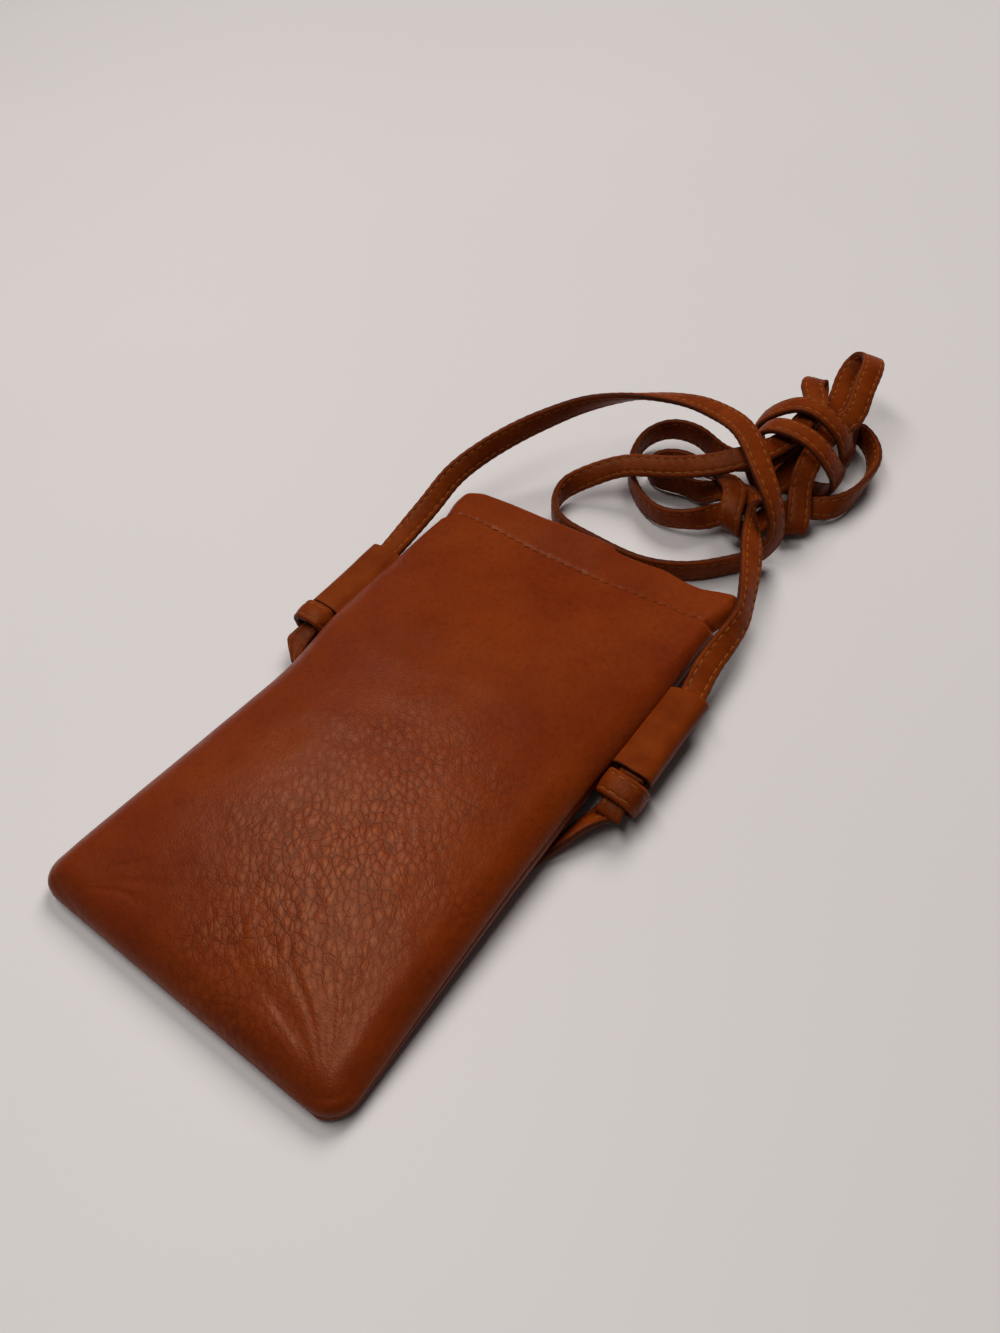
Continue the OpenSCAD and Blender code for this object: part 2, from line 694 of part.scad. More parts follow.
module left_tail() {
    fine = strap_frames(finer(left_tail_route, rings_per_row));
    color(strap_color) strap(fine, 0, len(fine) - 1);
}

module right_tail() {
    fine = strap_frames(finer(right_tail_route, rings_per_row));
    color(strap_color) strap(fine, 0, len(fine) - 1, tip_cut_l);
}

front_panel();
back_panel();
front_lining();
back_lining();
seam_allowance();
seam_thread();
front_casing();
back_casing();
front_hem_stitches();
back_hem_stitches();
front_strip();
back_strip();
left_pin();
right_pin();
left_sleeve();
right_sleeve();
strap_left_run();
strap_bundle();
strap_right_run();
left_knot();
right_knot();
left_tail();
right_tail();
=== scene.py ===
# %% [markdown]
# # A soft leather phone pouch
# The pouch lies on its back on a table. Its mouth is held shut by two spring strips inside the
# hems, its long strap passes through a leather sleeve at each side and ends in a knot, and the
# rest of the strap is gathered in a loose bundle behind the mouth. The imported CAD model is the
# frame: it says where each piece is. This script gives each piece its real surface.

# %% Load the frame
import math
import bpy
import numpy as np
from mathutils import Matrix, Quaternion, Vector, noise


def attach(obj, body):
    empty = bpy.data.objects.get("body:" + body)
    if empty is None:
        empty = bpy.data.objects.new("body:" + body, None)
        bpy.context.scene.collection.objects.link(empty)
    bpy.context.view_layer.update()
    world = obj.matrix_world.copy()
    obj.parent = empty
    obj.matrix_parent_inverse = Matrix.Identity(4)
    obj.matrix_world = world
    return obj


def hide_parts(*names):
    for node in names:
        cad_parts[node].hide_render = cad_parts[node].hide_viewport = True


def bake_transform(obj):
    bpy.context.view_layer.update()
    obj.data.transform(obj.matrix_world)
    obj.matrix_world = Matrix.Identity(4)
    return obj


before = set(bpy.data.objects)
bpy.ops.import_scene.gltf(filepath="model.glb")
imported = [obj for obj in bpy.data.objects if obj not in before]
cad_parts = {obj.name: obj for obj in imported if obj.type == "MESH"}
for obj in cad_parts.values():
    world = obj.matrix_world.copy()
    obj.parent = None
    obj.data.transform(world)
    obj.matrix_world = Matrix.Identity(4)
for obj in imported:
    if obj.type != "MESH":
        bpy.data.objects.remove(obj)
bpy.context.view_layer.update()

MM = 0.001

# %% [markdown]
# The camera stood about a third of a metre away, above the right-hand side of the bottom edge.
# Its place was solved from the pouch's four corners in the picture, so the axes of the view are
# written down directly: a camera looks along its own -Z, with +Y up, and a slight roll tips the
# picture the way a hand-held phone does.

# %% Camera at the picture's angle
VIEW_AZIMUTH, VIEW_ELEVATION, VIEW_ROLL = (math.radians(a) for a in (43.23, 49.26, -8.24))
VIEW_DISTANCE = 322.3 * MM
VIEW_TARGET = Vector((-0.9, 39.5, 0)) * MM
FOCAL_PIXELS, PICTURE_HEIGHT, SENSOR = 1029, 1333, 36

back = Vector((math.sin(VIEW_AZIMUTH) * math.cos(VIEW_ELEVATION),
               -math.cos(VIEW_AZIMUTH) * math.cos(VIEW_ELEVATION), math.sin(VIEW_ELEVATION)))
level_right = (-back).cross(Vector((0, 0, 1))).normalized()
level_up = level_right.cross(-back)
right = math.cos(VIEW_ROLL) * level_right + math.sin(VIEW_ROLL) * level_up
up = math.cos(VIEW_ROLL) * level_up - math.sin(VIEW_ROLL) * level_right
eye = VIEW_TARGET + VIEW_DISTANCE * back

camera = bpy.data.objects.new("camera", bpy.data.cameras.new("camera"))
camera.data.sensor_width = SENSOR
camera.data.lens = FOCAL_PIXELS / PICTURE_HEIGHT * SENSOR
camera.data.clip_start = 5 * MM
camera.matrix_world = Matrix.Translation(eye) @ Matrix((right, up, back)).transposed().to_4x4()
bpy.context.scene.collection.objects.link(camera)
bpy.context.scene.camera = camera
print("lens", round(camera.data.lens, 2), "mm at", [round(c, 4) for c in eye])

# %% [markdown]
# Every finish is a small graph of nodes. Colours are written as sRGB hex, as a colour picker
# shows them, and turned to the linear values that the renderer wants in one place. One function
# adds a node with its settings and its links, so each material below reads as a list of steps.

# %% Helpers for finishes
def linear(hex_colour):
    """An sRGB hex colour as linear red, green, blue and alpha."""
    channels = [int(hex_colour[i:i + 2], 16) / 255 for i in (1, 3, 5)]
    return [c / 12.92 if c <= 0.04045 else ((c + 0.055) / 1.055) ** 2.4 for c in channels] + [1.0]


def add_node(tree, kind, inputs=None, **settings):
    """Adds a node. inputs maps a socket to a value, or to the output of another node."""
    node = tree.nodes.new(kind)
    for name, value in settings.items():
        setattr(node, name, value)
    for socket, value in (inputs or {}).items():
        if isinstance(value, bpy.types.NodeSocket):
            tree.links.new(value, node.inputs[socket])
        else:
            node.inputs[socket].default_value = value
    return node


def new_material(name):
    """An empty material and its node tree."""
    material = bpy.data.materials.new(name)
    material.use_nodes = True
    material.node_tree.nodes.clear()
    return material, material.node_tree


def finish_material(material, tree, inputs):
    """Ends a material with a Principled surface that has these inputs."""
    shader = add_node(tree, "ShaderNodeBsdfPrincipled", inputs)
    add_node(tree, "ShaderNodeOutputMaterial", {"Surface": shader.outputs[0]})
    return material

# %% [markdown]
# The same few nodes come back in every finish, so each gets a short name. Patterns start from
# where a point of the piece lay at rest, in millimetres. That keeps them still on the leather in
# every pose, and lets their sizes be written as they are on the real hide.

# %% The usual nodes
def place_mm(tree):
    """Where a point of the piece lay at rest, in millimetres."""
    return add_node(tree, "ShaderNodeAttribute", attribute_name="rest_mm").outputs["Vector"]


def clouds(tree, place, scale, detail, roughness=0.5):
    """Noise from 0 to 1, with about scale blobs to a unit of its place."""
    inputs = {"Vector": place, "Scale": scale, "Detail": detail, "Roughness": roughness}
    return add_node(tree, "ShaderNodeTexNoise", inputs).outputs[0]


def cells(tree, place, size, feature, **inputs):
    """Cells of this size: how far a point lies from a cell's middle, or from its edge."""
    inputs = {"Vector": place, "Scale": 1 / size} | inputs
    return add_node(tree, "ShaderNodeTexVoronoi", inputs, feature=feature).outputs["Distance"]


def ranged(tree, value, start, stop, low=0.0, high=1.0, kind="LINEAR"):
    """low where the value is at start, high where it is at stop, and held beyond both."""
    return add_node(tree, "ShaderNodeMapRange", {0: value, 1: start, 2: stop, 3: low, 4: high},
                    interpolation_type=kind).outputs[0]


def scaled(tree, value, factor, plus=None):
    """A value times a factor, and a third value added where one is given."""
    inputs = {0: value, 1: factor} if plus is None else {0: value, 1: factor, 2: plus}
    return add_node(tree, "ShaderNodeMath", inputs,
                    operation="MULTIPLY" if plus is None else "MULTIPLY_ADD").outputs[0]


def mixed(tree, share, first, second):
    """A colour between two, each a hex colour or the output of a node."""
    first, second = (linear(colour) if isinstance(colour, str) else colour for colour in (first, second))
    return add_node(tree, "ShaderNodeMix", {"Factor": share, "A": first, "B": second},
                    data_type="RGBA").outputs["Result"]


def bumped(tree, height, relief, strength):
    """A relief that only the light sees: so many millimetres high where the height is 1."""
    return add_node(tree, "ShaderNodeBump",
                    {"Height": height, "Distance": relief * MM, "Strength": strength}).outputs[0]

# %% [markdown]
# ## The finishes
# The pouch is full-grain cowhide, dyed through in a cognac brown and milled in a drum until its
# grain shrinks into pebbles: soft round tops about 2.5 mm wide, with thin dark creases between
# them. A picture of leather could be laid over the mesh, but it would stretch at the bends and
# show where it ends. A Voronoi pattern has no end: the tops come from the distance to the middle
# of a cell, and the creases from the distance to its edge. Noise bends the place first, so that
# no cell is a plain polygon, and the cells are drawn out the way the hide was stretched.

# %% Grain of the pebbled cowhide
PEBBLE_MM, FINE_GRAIN_MM, PORE_MM = 2.5, 1.1, 0.4
BEND_MM, STRETCH_TURN, STRETCH = 2.2, math.radians(-38), (1.2, 0.8, 1.0)
TOP_REACH, CREASE_REACH, FINE_REACH = 0.7, 0.12, 0.3  # shares of a cell


def pebble_grain(tree, place):
    """Round tops, creases, fine grain and pores. The first three are 0 in a crease and 1 on top."""
    wander = add_node(tree, "ShaderNodeTexNoise", {"Vector": place, "Scale": 0.2, "Detail": 1.0})
    bent = add_node(tree, "ShaderNodeVectorMath",
                    {0: wander.outputs["Color"], 1: (BEND_MM, BEND_MM, BEND_MM), 2: place},
                    operation="MULTIPLY_ADD").outputs[0]
    drawn = add_node(tree, "ShaderNodeVectorRotate", {"Vector": bent, "Angle": STRETCH_TURN},
                     rotation_type="Z_AXIS").outputs[0]
    drawn = add_node(tree, "ShaderNodeVectorMath", {0: drawn, 1: STRETCH}, operation="MULTIPLY").outputs[0]
    tops = cells(tree, drawn, PEBBLE_MM, "SMOOTH_F1", Smoothness=0.8)
    tops = ranged(tree, tops, 0.0, TOP_REACH, 1.0, 0.0, kind="SMOOTHSTEP")
    crease = cells(tree, drawn, PEBBLE_MM, "DISTANCE_TO_EDGE")
    crease = ranged(tree, crease, 0.0, CREASE_REACH, kind="SMOOTHSTEP")
    fine = cells(tree, bent, FINE_GRAIN_MM, "DISTANCE_TO_EDGE")
    fine = ranged(tree, fine, 0.0, FINE_REACH, kind="SMOOTHSTEP")
    return tops, crease, fine, clouds(tree, place, 1 / PORE_MM, 2.0)

# %% [markdown]
# The pebbles are open on the lower middle of the front, where the leather is fullest, and close
# in drifts towards the edges and the mouth, where the hide is smooth. A distance from the middle
# of that patch, shortened and lengthened by slow noise, says how open they are. The grain's
# height then goes to a Bump node: its reliefs are a tenth of a millimetre, too low to be worth
# a mesh of millions of faces.

# %% Where the pebbles are open, and how high they stand
OPEN_MIDDLE, OPEN_REACH = (12.0, -48.0, 14.0), (38, 62, 60)
OPEN_TO, SMOOTH_FROM, SMOOTH_SHARE, DRIFT = 0.45, 1.6, 0.12, 0.9
PEBBLE_H, CREASE_H, FINE_H, PORE_H = 0.13, 0.04, 0.02, 0.012


# The same patch also places the painted shade in the creases and the painted highlight on the tops
def open_pebbles(tree, place):
    """1 where the pebbles are open, down to SMOOTH_SHARE where the hide is smooth."""
    around = add_node(tree, "ShaderNodeVectorMath", {0: place, 1: OPEN_MIDDLE}, operation="SUBTRACT")
    around = add_node(tree, "ShaderNodeVectorMath",
                      {0: around.outputs[0], 1: [1 / reach for reach in OPEN_REACH]}, operation="MULTIPLY")
    spread = add_node(tree, "ShaderNodeVectorMath", {0: around.outputs[0]},
                      operation="LENGTH").outputs["Value"]
    spread = scaled(tree, clouds(tree, place, 0.07, 2.0), DRIFT, plus=spread)
    return ranged(tree, spread, OPEN_TO, SMOOTH_FROM, 1.0, SMOOTH_SHARE, kind="SMOOTHSTEP")


def grain_bump(tree, grain, open_grain):
    """The grain's height in millimetres, as a bump. Only the pebbles fade out where it is closed."""
    tops, crease, fine, pores = grain
    height = scaled(tree, crease, CREASE_H, plus=scaled(tree, tops, PEBBLE_H))
    height = scaled(tree, height, open_grain)
    for pattern, size in ((fine, FINE_H), (pores, PORE_H)):
        height = scaled(tree, pattern, size, plus=height)
    return bumped(tree, height, 1.0, 1.0)

# %% [markdown]
# The dye takes unevenly, so the brown varies slowly over the hide, with small dark freckles.
# Where the pebbles are open, the creases are darker, partly dye and partly painted shade, and the
# tops are lighter, partly wear and partly a painted highlight. The tops are also a little smoother.
# The finish on top is a dyed wax, so the shine itself is warm: Specular Tint colours it.

# %% Dye and shine of the cowhide
HIDE_DARK, HIDE_MID, HIDE_LIGHT = "#3A0C02", "#641F04", "#722A06"
# The tops' lighter colour is partly wear and partly a painted highlight
HIDE_TOP_WEAR_AND_HIGHLIGHT, WARM_SHINE = "#8A4420", "#FFC69C"


def hide_dye(tree, place, grain, open_grain):
    """Hide colour: slow patches, freckles, dye and painted shade in creases, wear and painted highlight on
    tops.
    """
    tops, crease = grain[:2]
    patches = ranged(tree, clouds(tree, place, 0.035, 4.0, 0.55), 0.34, 0.68)
    # Darker in the open creases: partly dye, partly painted shade
    crease_shade_and_dye = scaled(tree, ranged(tree, crease, 0.0, 1.0, 0.62, 0.0), open_grain)
    # Lighter on the open tops: partly wear, partly a painted highlight
    top_wear_and_highlight = scaled(tree, ranged(tree, tops, 0.3, 1.0, 0.0, 0.45), open_grain)
    freckles = ranged(tree, clouds(tree, place, 0.6, 3.0), 0.5, 0.74, 0.0, 0.26)
    dye = HIDE_MID
    for share, colour in ((patches, HIDE_LIGHT), (crease_shade_and_dye, HIDE_DARK), (top_wear_and_highlight, HIDE_TOP_WEAR_AND_HIGHLIGHT),
                          (freckles, HIDE_DARK)):
        dye = mixed(tree, share, dye, colour)
    return dye


def pebbled_cowhide():
    """Full-grain cowhide, milled: satin, with pebbles that catch the light one by one."""
    material, tree = new_material("pebbled_cowhide")
    place = place_mm(tree)
    grain, open_grain = pebble_grain(tree, place), open_pebbles(tree, place)
    gloss = ranged(tree, grain[0], 0.0, 1.0, 0.42, 0.34)
    return finish_material(material, tree, {
        "Base Color": hide_dye(tree, place, grain, open_grain), "Roughness": gloss, "IOR": 1.5,
        "Specular IOR Level": 0.36, "Specular Tint": linear(WARM_SHINE),
        "Normal": grain_bump(tree, grain, open_grain)})


COWHIDE = pebbled_cowhide()
print(COWHIDE.name, len(COWHIDE.node_tree.nodes), "nodes")

# %% [markdown]
# The strap and the two sleeves are cut from a thinner hide of the same tannage, pressed smooth,
# so the grain is only a fine tooth of about 0.6 mm. It is a little more orange than the pouch
# where light falls on it, and darker where it has been handled. The cut edges are painted dark
# brown, as strap edges are. The paint dries duller than the leather and a little lumpy.

# %% Strap leather and edge paint
TOOTH_MM = 0.6
STRAP_DARK, STRAP_LIGHT, STRAP_HANDLED = "#5E2004", "#722E08", "#4E1E0A"
PAINT_DARK, PAINT_LIGHT = "#361408", "#54260E"


def smooth_strap_leather():
    """Pressed cowhide: an even satin with a fine tooth."""
    material, tree = new_material("smooth_strap_leather")
    place = place_mm(tree)
    tooth = cells(tree, place, TOOTH_MM, "F1")
    cloud, wear = clouds(tree, place, 0.12, 4.0, 0.6), clouds(tree, place, 0.9, 3.0)
    hide = mixed(tree, ranged(tree, cloud, 0.3, 0.7), STRAP_DARK, STRAP_LIGHT)
    hide = mixed(tree, ranged(tree, wear, 0.55, 0.8, 0.0, 0.35), hide, STRAP_HANDLED)
    gloss = ranged(tree, wear, 0.3, 0.7, 0.4, 0.5)
    return finish_material(material, tree, {
        "Base Color": hide, "Roughness": gloss, "IOR": 1.5, "Specular IOR Level": 0.16,
        "Specular Tint": linear(WARM_SHINE), "Normal": bumped(tree, tooth, 0.06, 0.8)})


def painted_edge():
    """Edge paint: dark, matt and a little lumpy."""
    material, tree = new_material("painted_leather_edge")
    lumps = clouds(tree, place_mm(tree), 1.2, 3.0)
    paint = mixed(tree, ranged(tree, lumps, 0.3, 0.7), PAINT_DARK, PAINT_LIGHT)
    return finish_material(material, tree, {
        "Base Color": paint, "Roughness": 0.6, "IOR": 1.49, "Specular IOR Level": 0.15,
        "Normal": bumped(tree, lumps, 0.12, 0.7)})


STRAP_LEATHER, EDGE_PAINT = smooth_strap_leather(), painted_edge()
print(STRAP_LEATHER.name, "and", EDGE_PAINT.name)

# %% [markdown]
# The thread is waxed polyester of about half a millimetre, twisted from three strands. A single
# strand is too fine to show, so only the unevenness of the twist is drawn. The strap's thread is
# a lighter brown than the leather. The hem's is nearly the leather's own colour.

# %% Waxed thread
STRAND_MM = 0.25


def waxed_thread(name, hex_dark, hex_light):
    """Waxed polyester thread: matt, and uneven along its twist."""
    material, tree = new_material(name)
    strand = clouds(tree, place_mm(tree), 1 / STRAND_MM, 2.0)
    colour = mixed(tree, ranged(tree, strand, 0.3, 0.7), hex_dark, hex_light)
    return finish_material(material, tree, {
        "Base Color": colour, "Roughness": 0.7, "IOR": 1.5, "Specular IOR Level": 0.05,
        "Normal": bumped(tree, strand, 0.05, 0.8)})


STRAP_THREAD = waxed_thread("waxed_strap_thread", "#6A3A16", "#9A602E")
HEM_THREAD = waxed_thread("waxed_hem_thread", "#5E2608", "#7A3A10")
print(STRAP_THREAD.name, "and", HEM_THREAD.name)

# %% [markdown]
# Inside, the pouch has a cotton twill lining. Its diagonal ribs lie about 0.6 mm apart on the
# real cloth and are drawn at that width, as waves that run at a slant. The raw flesh side of the
# leather, matt and fibrous, shows on the turned edges. The spring strips and pins are satin
# spring steel, drawn through a die, which leaves fine lines along it. None of these shows while
# the mouth is shut, but all of them do when it is squeezed open.

# %% Lining, flesh side and spring steel
TWILL_RIB_MM = 0.6
WAVE_UNIT = 0.314  # a wave texture has 20 bands in 2 pi units
DIE_LINES = (40.0, 2500.0, 2500.0)  # how many lie in a metre along the strip, and across it


def cotton_twill():
    """Woven cotton: quite matt, with a soft bloom at grazing angles and slanting ribs."""
    material, tree = new_material("cotton_twill_lining")
    place = place_mm(tree)
    ribs = add_node(tree, "ShaderNodeTexWave",
                    {"Vector": place, "Scale": WAVE_UNIT / TWILL_RIB_MM, "Distortion": 0.6, "Detail": 2.0},
                    bands_direction="DIAGONAL").outputs["Fac"]
    colour = mixed(tree, clouds(tree, place, 2.5, 3.0), "#7A5F45", "#A1835F")
    return finish_material(material, tree, {
        "Base Color": colour, "Roughness": 0.85, "IOR": 1.5, "Sheen Weight": 0.25,
        "Normal": bumped(tree, ribs, 0.12, 0.8)})


def flesh_side():
    """The unfinished side of the hide: matt and fibrous."""
    material, tree = new_material("raw_flesh_side_leather")
    fibres = clouds(tree, place_mm(tree), 1.6, 6.0, 0.7)
    return finish_material(material, tree, {
        "Base Color": mixed(tree, fibres, "#5C3520", "#8A5B3A"), "Roughness": 0.9, "IOR": 1.5,
        "Normal": bumped(tree, fibres, 0.25, 0.9)})


def satin_spring_steel():
    """Drawn spring steel: a grey metal with fine lines along its length."""
    material, tree = new_material("satin_spring_steel")
    place = add_node(tree, "ShaderNodeTexCoord").outputs["Object"]
    drawn = add_node(tree, "ShaderNodeVectorMath", {0: place, 1: DIE_LINES}, operation="MULTIPLY")
    lines = clouds(tree, drawn.outputs[0], 1.0, 2.0)
    return finish_material(material, tree, {
        "Base Color": linear("#C4C6C8"), "Metallic": 1.0,
        "Roughness": ranged(tree, lines, 0.0, 1.0, 0.26, 0.42), "Normal": bumped(tree, lines, 0.01, 0.6)})


TWILL, FLESH, STEEL = cotton_twill(), flesh_side(), satin_spring_steel()
print([material.name for material in (TWILL, FLESH, STEEL)])

# %% [markdown]
# All meshes are made from arrays of points in millimetres, the unit of the CAD source, and turned
# to metres on the way in. Each mesh also stores where its points lay at rest, for the patterns.

# %% Helpers for meshes
def mesh_piece(name, points, faces, materials, face_material=None, smooth=True):
    """An object made of points in millimetres and faces, with one material or several."""
    mesh = bpy.data.meshes.new(name)
    points = np.asarray(points, float)
    mesh.from_pydata((points * MM).tolist(), [], faces)
    for material in materials:
        mesh.materials.append(material)
    if face_material is not None:
        mesh.polygons.foreach_set("material_index", np.asarray(face_material, np.int32))
    mesh.polygons.foreach_set("use_smooth", [smooth] * len(mesh.polygons))
    rest = mesh.attributes.new("rest_mm", "FLOAT_VECTOR", "POINT")
    rest.data.foreach_set("vector", points.astype(np.float32).ravel())
    mesh.update()
    obj = bpy.data.objects.new(name, mesh)
    bpy.context.scene.collection.objects.link(obj)
    return obj


def grid_faces(rows, columns, wrap=False, flip=False):
    """Quads over a grid of rows and columns of points. wrap joins the last column to the first."""
    faces = []
    for j in range(rows - 1):
        for i in range(columns if wrap else columns - 1):
            k = (i + 1) % columns
            quad = (j * columns + i, j * columns + k, (j + 1) * columns + k, (j + 1) * columns + i)
            faces.append(quad[::-1] if flip else quad)
    return faces


def give_thickness(obj, thickness, offset=-1.0, rim_material=0):
    """Gives a sheet its thickness, in millimetres, inwards from its outer face."""
    solid = obj.modifiers.new("thickness", "SOLIDIFY")
    solid.thickness = thickness * MM
    solid.offset = offset
    solid.material_offset_rim = rim_material
    return obj


def smooth_line(rows, spacing):
    """Points about spacing apart on a smooth curve through the rows (Catmull and Rom's)."""
    rows = np.asarray(rows, float)
    padded = np.vstack([2 * rows[0] - rows[1], rows, 2 * rows[-1] - rows[-2]])
    out = []
    for a, b, c, d in zip(padded, padded[1:], padded[2:], padded[3:]):
        steps = max(1, round(np.linalg.norm((c - b)[:3]) / spacing))
        for t in np.arange(steps) / steps:
            out.append((2 * b + (c - a) * t + (2 * a - 5 * b + 4 * c - d) * t ** 2
                        + (3 * b - a - 3 * c + d) * t ** 3) / 2)
    return np.array(out + [rows[-1]])

# %% [markdown]
# ## The strap
# The strap is one flat strip, 8 mm wide and 2.5 mm thick: leather folded over a core and stitched
# along both edges. It starts at the left knot, passes up through the left sleeve, runs through
# the bundle and comes back down through the right sleeve. Its route was chosen against the
# picture, and each row gives the centre of the strap and the direction of its width, so that
# twists are where the picture shows them. A curve with a bevel would turn about its own axis as
# it liked, so the strap is swept as a mesh instead.

# %% Route of the strap
STRAP_ROUTE = [
    # Through the left sleeve
    [-58.4, 21.2, 8.6, 1, 0, 0], [-58.4, 32, 8.6, 1, 0, 0], [-58.4, 43, 8.6, 1, 0, 0],
    [-58.4, 54, 8.6, 1, 0, -0.04],
    # Over the mouth in a wide arc
    [-59.3, 67, 9.6, 0.95, 0.1, -0.25], [-59.2, 79, 12, 0.85, 0.1, -0.5], [-59.2, 92, 15, 0.75, 0.1, -0.65],
    [-55.4, 104, 18, 0.6, 0, -0.8], [-50.2, 116.6, 20, 0.4, 0, -0.9], [-43.4, 127.8, 22, 0.2, 0.1, -1],
    [-34, 140, 24, -0.1, 0.3, -1], [-20, 151, 25, -0.35, 0.7, -0.55], [-4, 156, 26, 0, 1, -0.2],
    [9, 154, 27.5, 0.3, 0.95, 0.1], [24, 146, 30, 0.6, 0.8, 0.1],
    # Down to the table and round the big loop
    [37, 135, 25, 0.55, 0.75, -0.2], [45, 129, 18, 0.3, 0.85, -0.45], [48, 125, 9.5, 0.3, 0.7, -0.65],
    [44, 118, 5, 0.1, 0.2, -1], [37, 110, 4.2, 0, 0, 1], [28, 102, 4.2, 0, 0, 1], [14, 97, 4.2, 0, 0, 1],
    [-6, 98, 4.2, 0, 0, 1], [-19, 100, 4.2, 0, 0, 1], [-26, 105, 5, 0, 0.1, 1],
    [-28, 114, 6, -0.2, 0.4, 0.9], [-23, 122, 8, -0.1, 0.6, 0.7], [-12, 130, 12, 0, 0.8, 0.6],
    [4, 133.5, 15.2, 0, 0.8, 0.6], [18, 137, 19.6, 0, 0.8, 0.6],
    # First pass through the wraps, short ear, second pass
    [28, 145, 22.2, -0.5, 0.7, 0.4], [33, 157, 21.2, -1, 0.2, 0.1], [34, 168, 21.7, -1, 0, 0],
    [34, 180, 22.2, -1, 0, 0], [27, 190, 22.5, -1, 0, 0], [27, 196, 20.5, -1, 0, 0],
    [29, 192, 18, -1, 0, 0], [33, 180, 17.5, -1, 0, 0], [33, 166, 17.5, -1, 0, 0],
    [31, 153, 16.6, -0.9, 0.4, 0.1], [21, 150, 13.6, -0.2, 0.8, 0.5],
    # Outer loop on the left
    [13, 153, 10.5, 0, 0.4, 0.9], [0, 160, 9.5, 0, 0.2, 1], [-12, 161, 7.5, 0, 0.1, 1],
    [-18, 154, 6, 0, 0, 1], [-17, 143, 5, 0, 0, 1], [-11, 132, 4.6, 0, 0, 1], [0, 123, 4.6, 0, 0, 1],
    [10, 120, 5.5, 0, 0, 1], [20, 123, 7, 0, 0, 1], [25, 130, 6, -0.65, 0.65, 0.2],
    # Third pass, big ear, fourth pass
    [31, 140, 7.4, -0.7, 0.7, 0], [36, 149, 9.3, -0.8, 0.3, 0.3], [37, 160, 10.5, -0.9, 0, 0.3],
    [37, 172, 11, -0.9, 0, 0.3], [35, 185, 11.5, -0.8, -0.1, 0.3], [35, 199, 13, -0.8, -0.2, 0.2],
    [33, 207, 15, -0.8, -0.2, 0.2], [33, 216, 18, -0.8, -0.2, 0.2], [38, 216, 21.5, -0.8, -0.2, 0.2],
    [42, 207, 24, -0.8, -0.2, 0.2], [44, 195, 22, -0.8, -0.2, 0.2], [46, 185, 18.5, -0.8, -0.1, 0.4],
    [42, 174, 16.5, -0.8, 0, 0.5], [43, 161, 17.5, -0.8, -0.3, 0.4],
    # Down the near face of the bundle and under it
    [44, 152, 16.5, -0.84, -0.5, 0.2], [44, 150, 12, -0.84, -0.57, 0.14], [47, 144, 9.3, -0.84, -0.57, 0.1],
    [50, 137, 4.2, -0.84, -0.57, 0], [45, 140, 1.8, -0.8, -0.6, 0], [34, 150, 1.6, -0.6, -0.8, 0],
    [26, 156, 4, -0.3, -0.9, 0],
    # First wrap
    [21, 158, 11, 0, -1, 0], [23, 159, 18.5, 0, -1, 0], [27, 159, 25, 0, -1, 0], [36, 159, 26, 0, -1, 0],
    [44, 158, 24.5, 0, -1, 0], [50, 158, 19, 0, -1, 0], [53, 160, 11.4, 0, -1, 0], [50, 161, 4, 0, -1, 0],
    [40, 162, 1.8, 0, -1, 0], [29, 165, 2, 0, -1, 0],
    # Second wrap
    [21, 167, 7, 0, -1, 0], [18, 168, 15, 0.1, -1, 0], [23, 170, 22, 0.2, -1, 0], [31, 173, 26, 0.2, -1, 0],
    [39, 173, 25.3, 0.1, -1, 0], [48, 173, 18.4, 0, -1, 0], [50, 173, 10, 0, -0.9, -0.4],
    # Low loop on the right and back under
    [49, 180, 6, 0, -0.5, -0.9], [46, 187, 5.5, 0, -0.1, -1], [45, 195, 5.5, -0.2, -0.2, -0.9],
    [53, 189, 5.5, -0.4, -0.1, -0.9], [58, 180, 5.5, -0.4, 0, -0.9], [59, 170, 5.5, -0.3, 0, -0.9],
    [58, 159, 5.2, 0, 0, -1], [54, 152, 5, 0.4, -0.4, -0.8], [46, 147, 5.4, 0.6, -0.8, 0],
    [39, 140, 4.9, 0.6, -0.8, 0], [37, 132, 4.1, 0.8, -0.6, 0],
    # Turn at the near end
    [34, 125, 5.5, 0.9, -0.4, 0], [33, 122.5, 9.4, 1, -0.2, 0], [31, 126, 14, 0.9, 0.2, 0],
    [29, 133, 16, 0.9, 0.4, 0], [22, 139, 14.4, 0.5, 0.8, -0.2],
    # Inner loop on the left
    [12, 147, 7, 0, 0.3, -0.9], [0, 151, 5, 0, 0, -1], [-8, 147, 5, 0, 0, -1], [-9, 140, 5, 0, 0, -1],
    [-3, 137, 4.6, 0, 0, -1], [7, 139, 4.6, 0, 0, -1], [13, 138, 4.6, 0, -0.2, -0.9],
    [22, 137, 10, 0.2, -0.9, -0.1], [31, 137, 12.6, 0.4, -0.9, 0],
    # Out of the bundle and back to the right sleeve
    [37, 130, 12, 0.5, -0.8, -0.2], [44, 116, 14.8, 0.8, -0.4, -0.3], [50, 104, 14, 0.8, 0, -0.6],
    [54, 94, 13, 0.5, 0.1, -0.8], [56.6, 87, 12, 0.35, 0.1, -0.9], [56.8, 77, 11, 0.8, 0.1, -0.55],
    [56.8, 65, 9.8, 0.95, 0.1, -0.3], [58.4, 54, 8.6, 1, 0, -0.04], [58.4, 43, 8.6, 1, 0, 0],
    [58.4, 32, 8.6, 1, 0, 0], [58.4, 21.2, 8.6, 1, 0, 0],
]
print("strap route:", len(STRAP_ROUTE), "rows")

# %% [markdown]
# The section of the strap is a flat oval with a shallow groove under each row of stitches, where
# the thread pulls the leather in. Between two holes the leather swells a little, so the groove's
# depth and the width go up and down once for each stitch. The same section is swept along every
# piece of strap: the long run, the knots' turns and the two tails. The narrow sides get the edge
# paint.

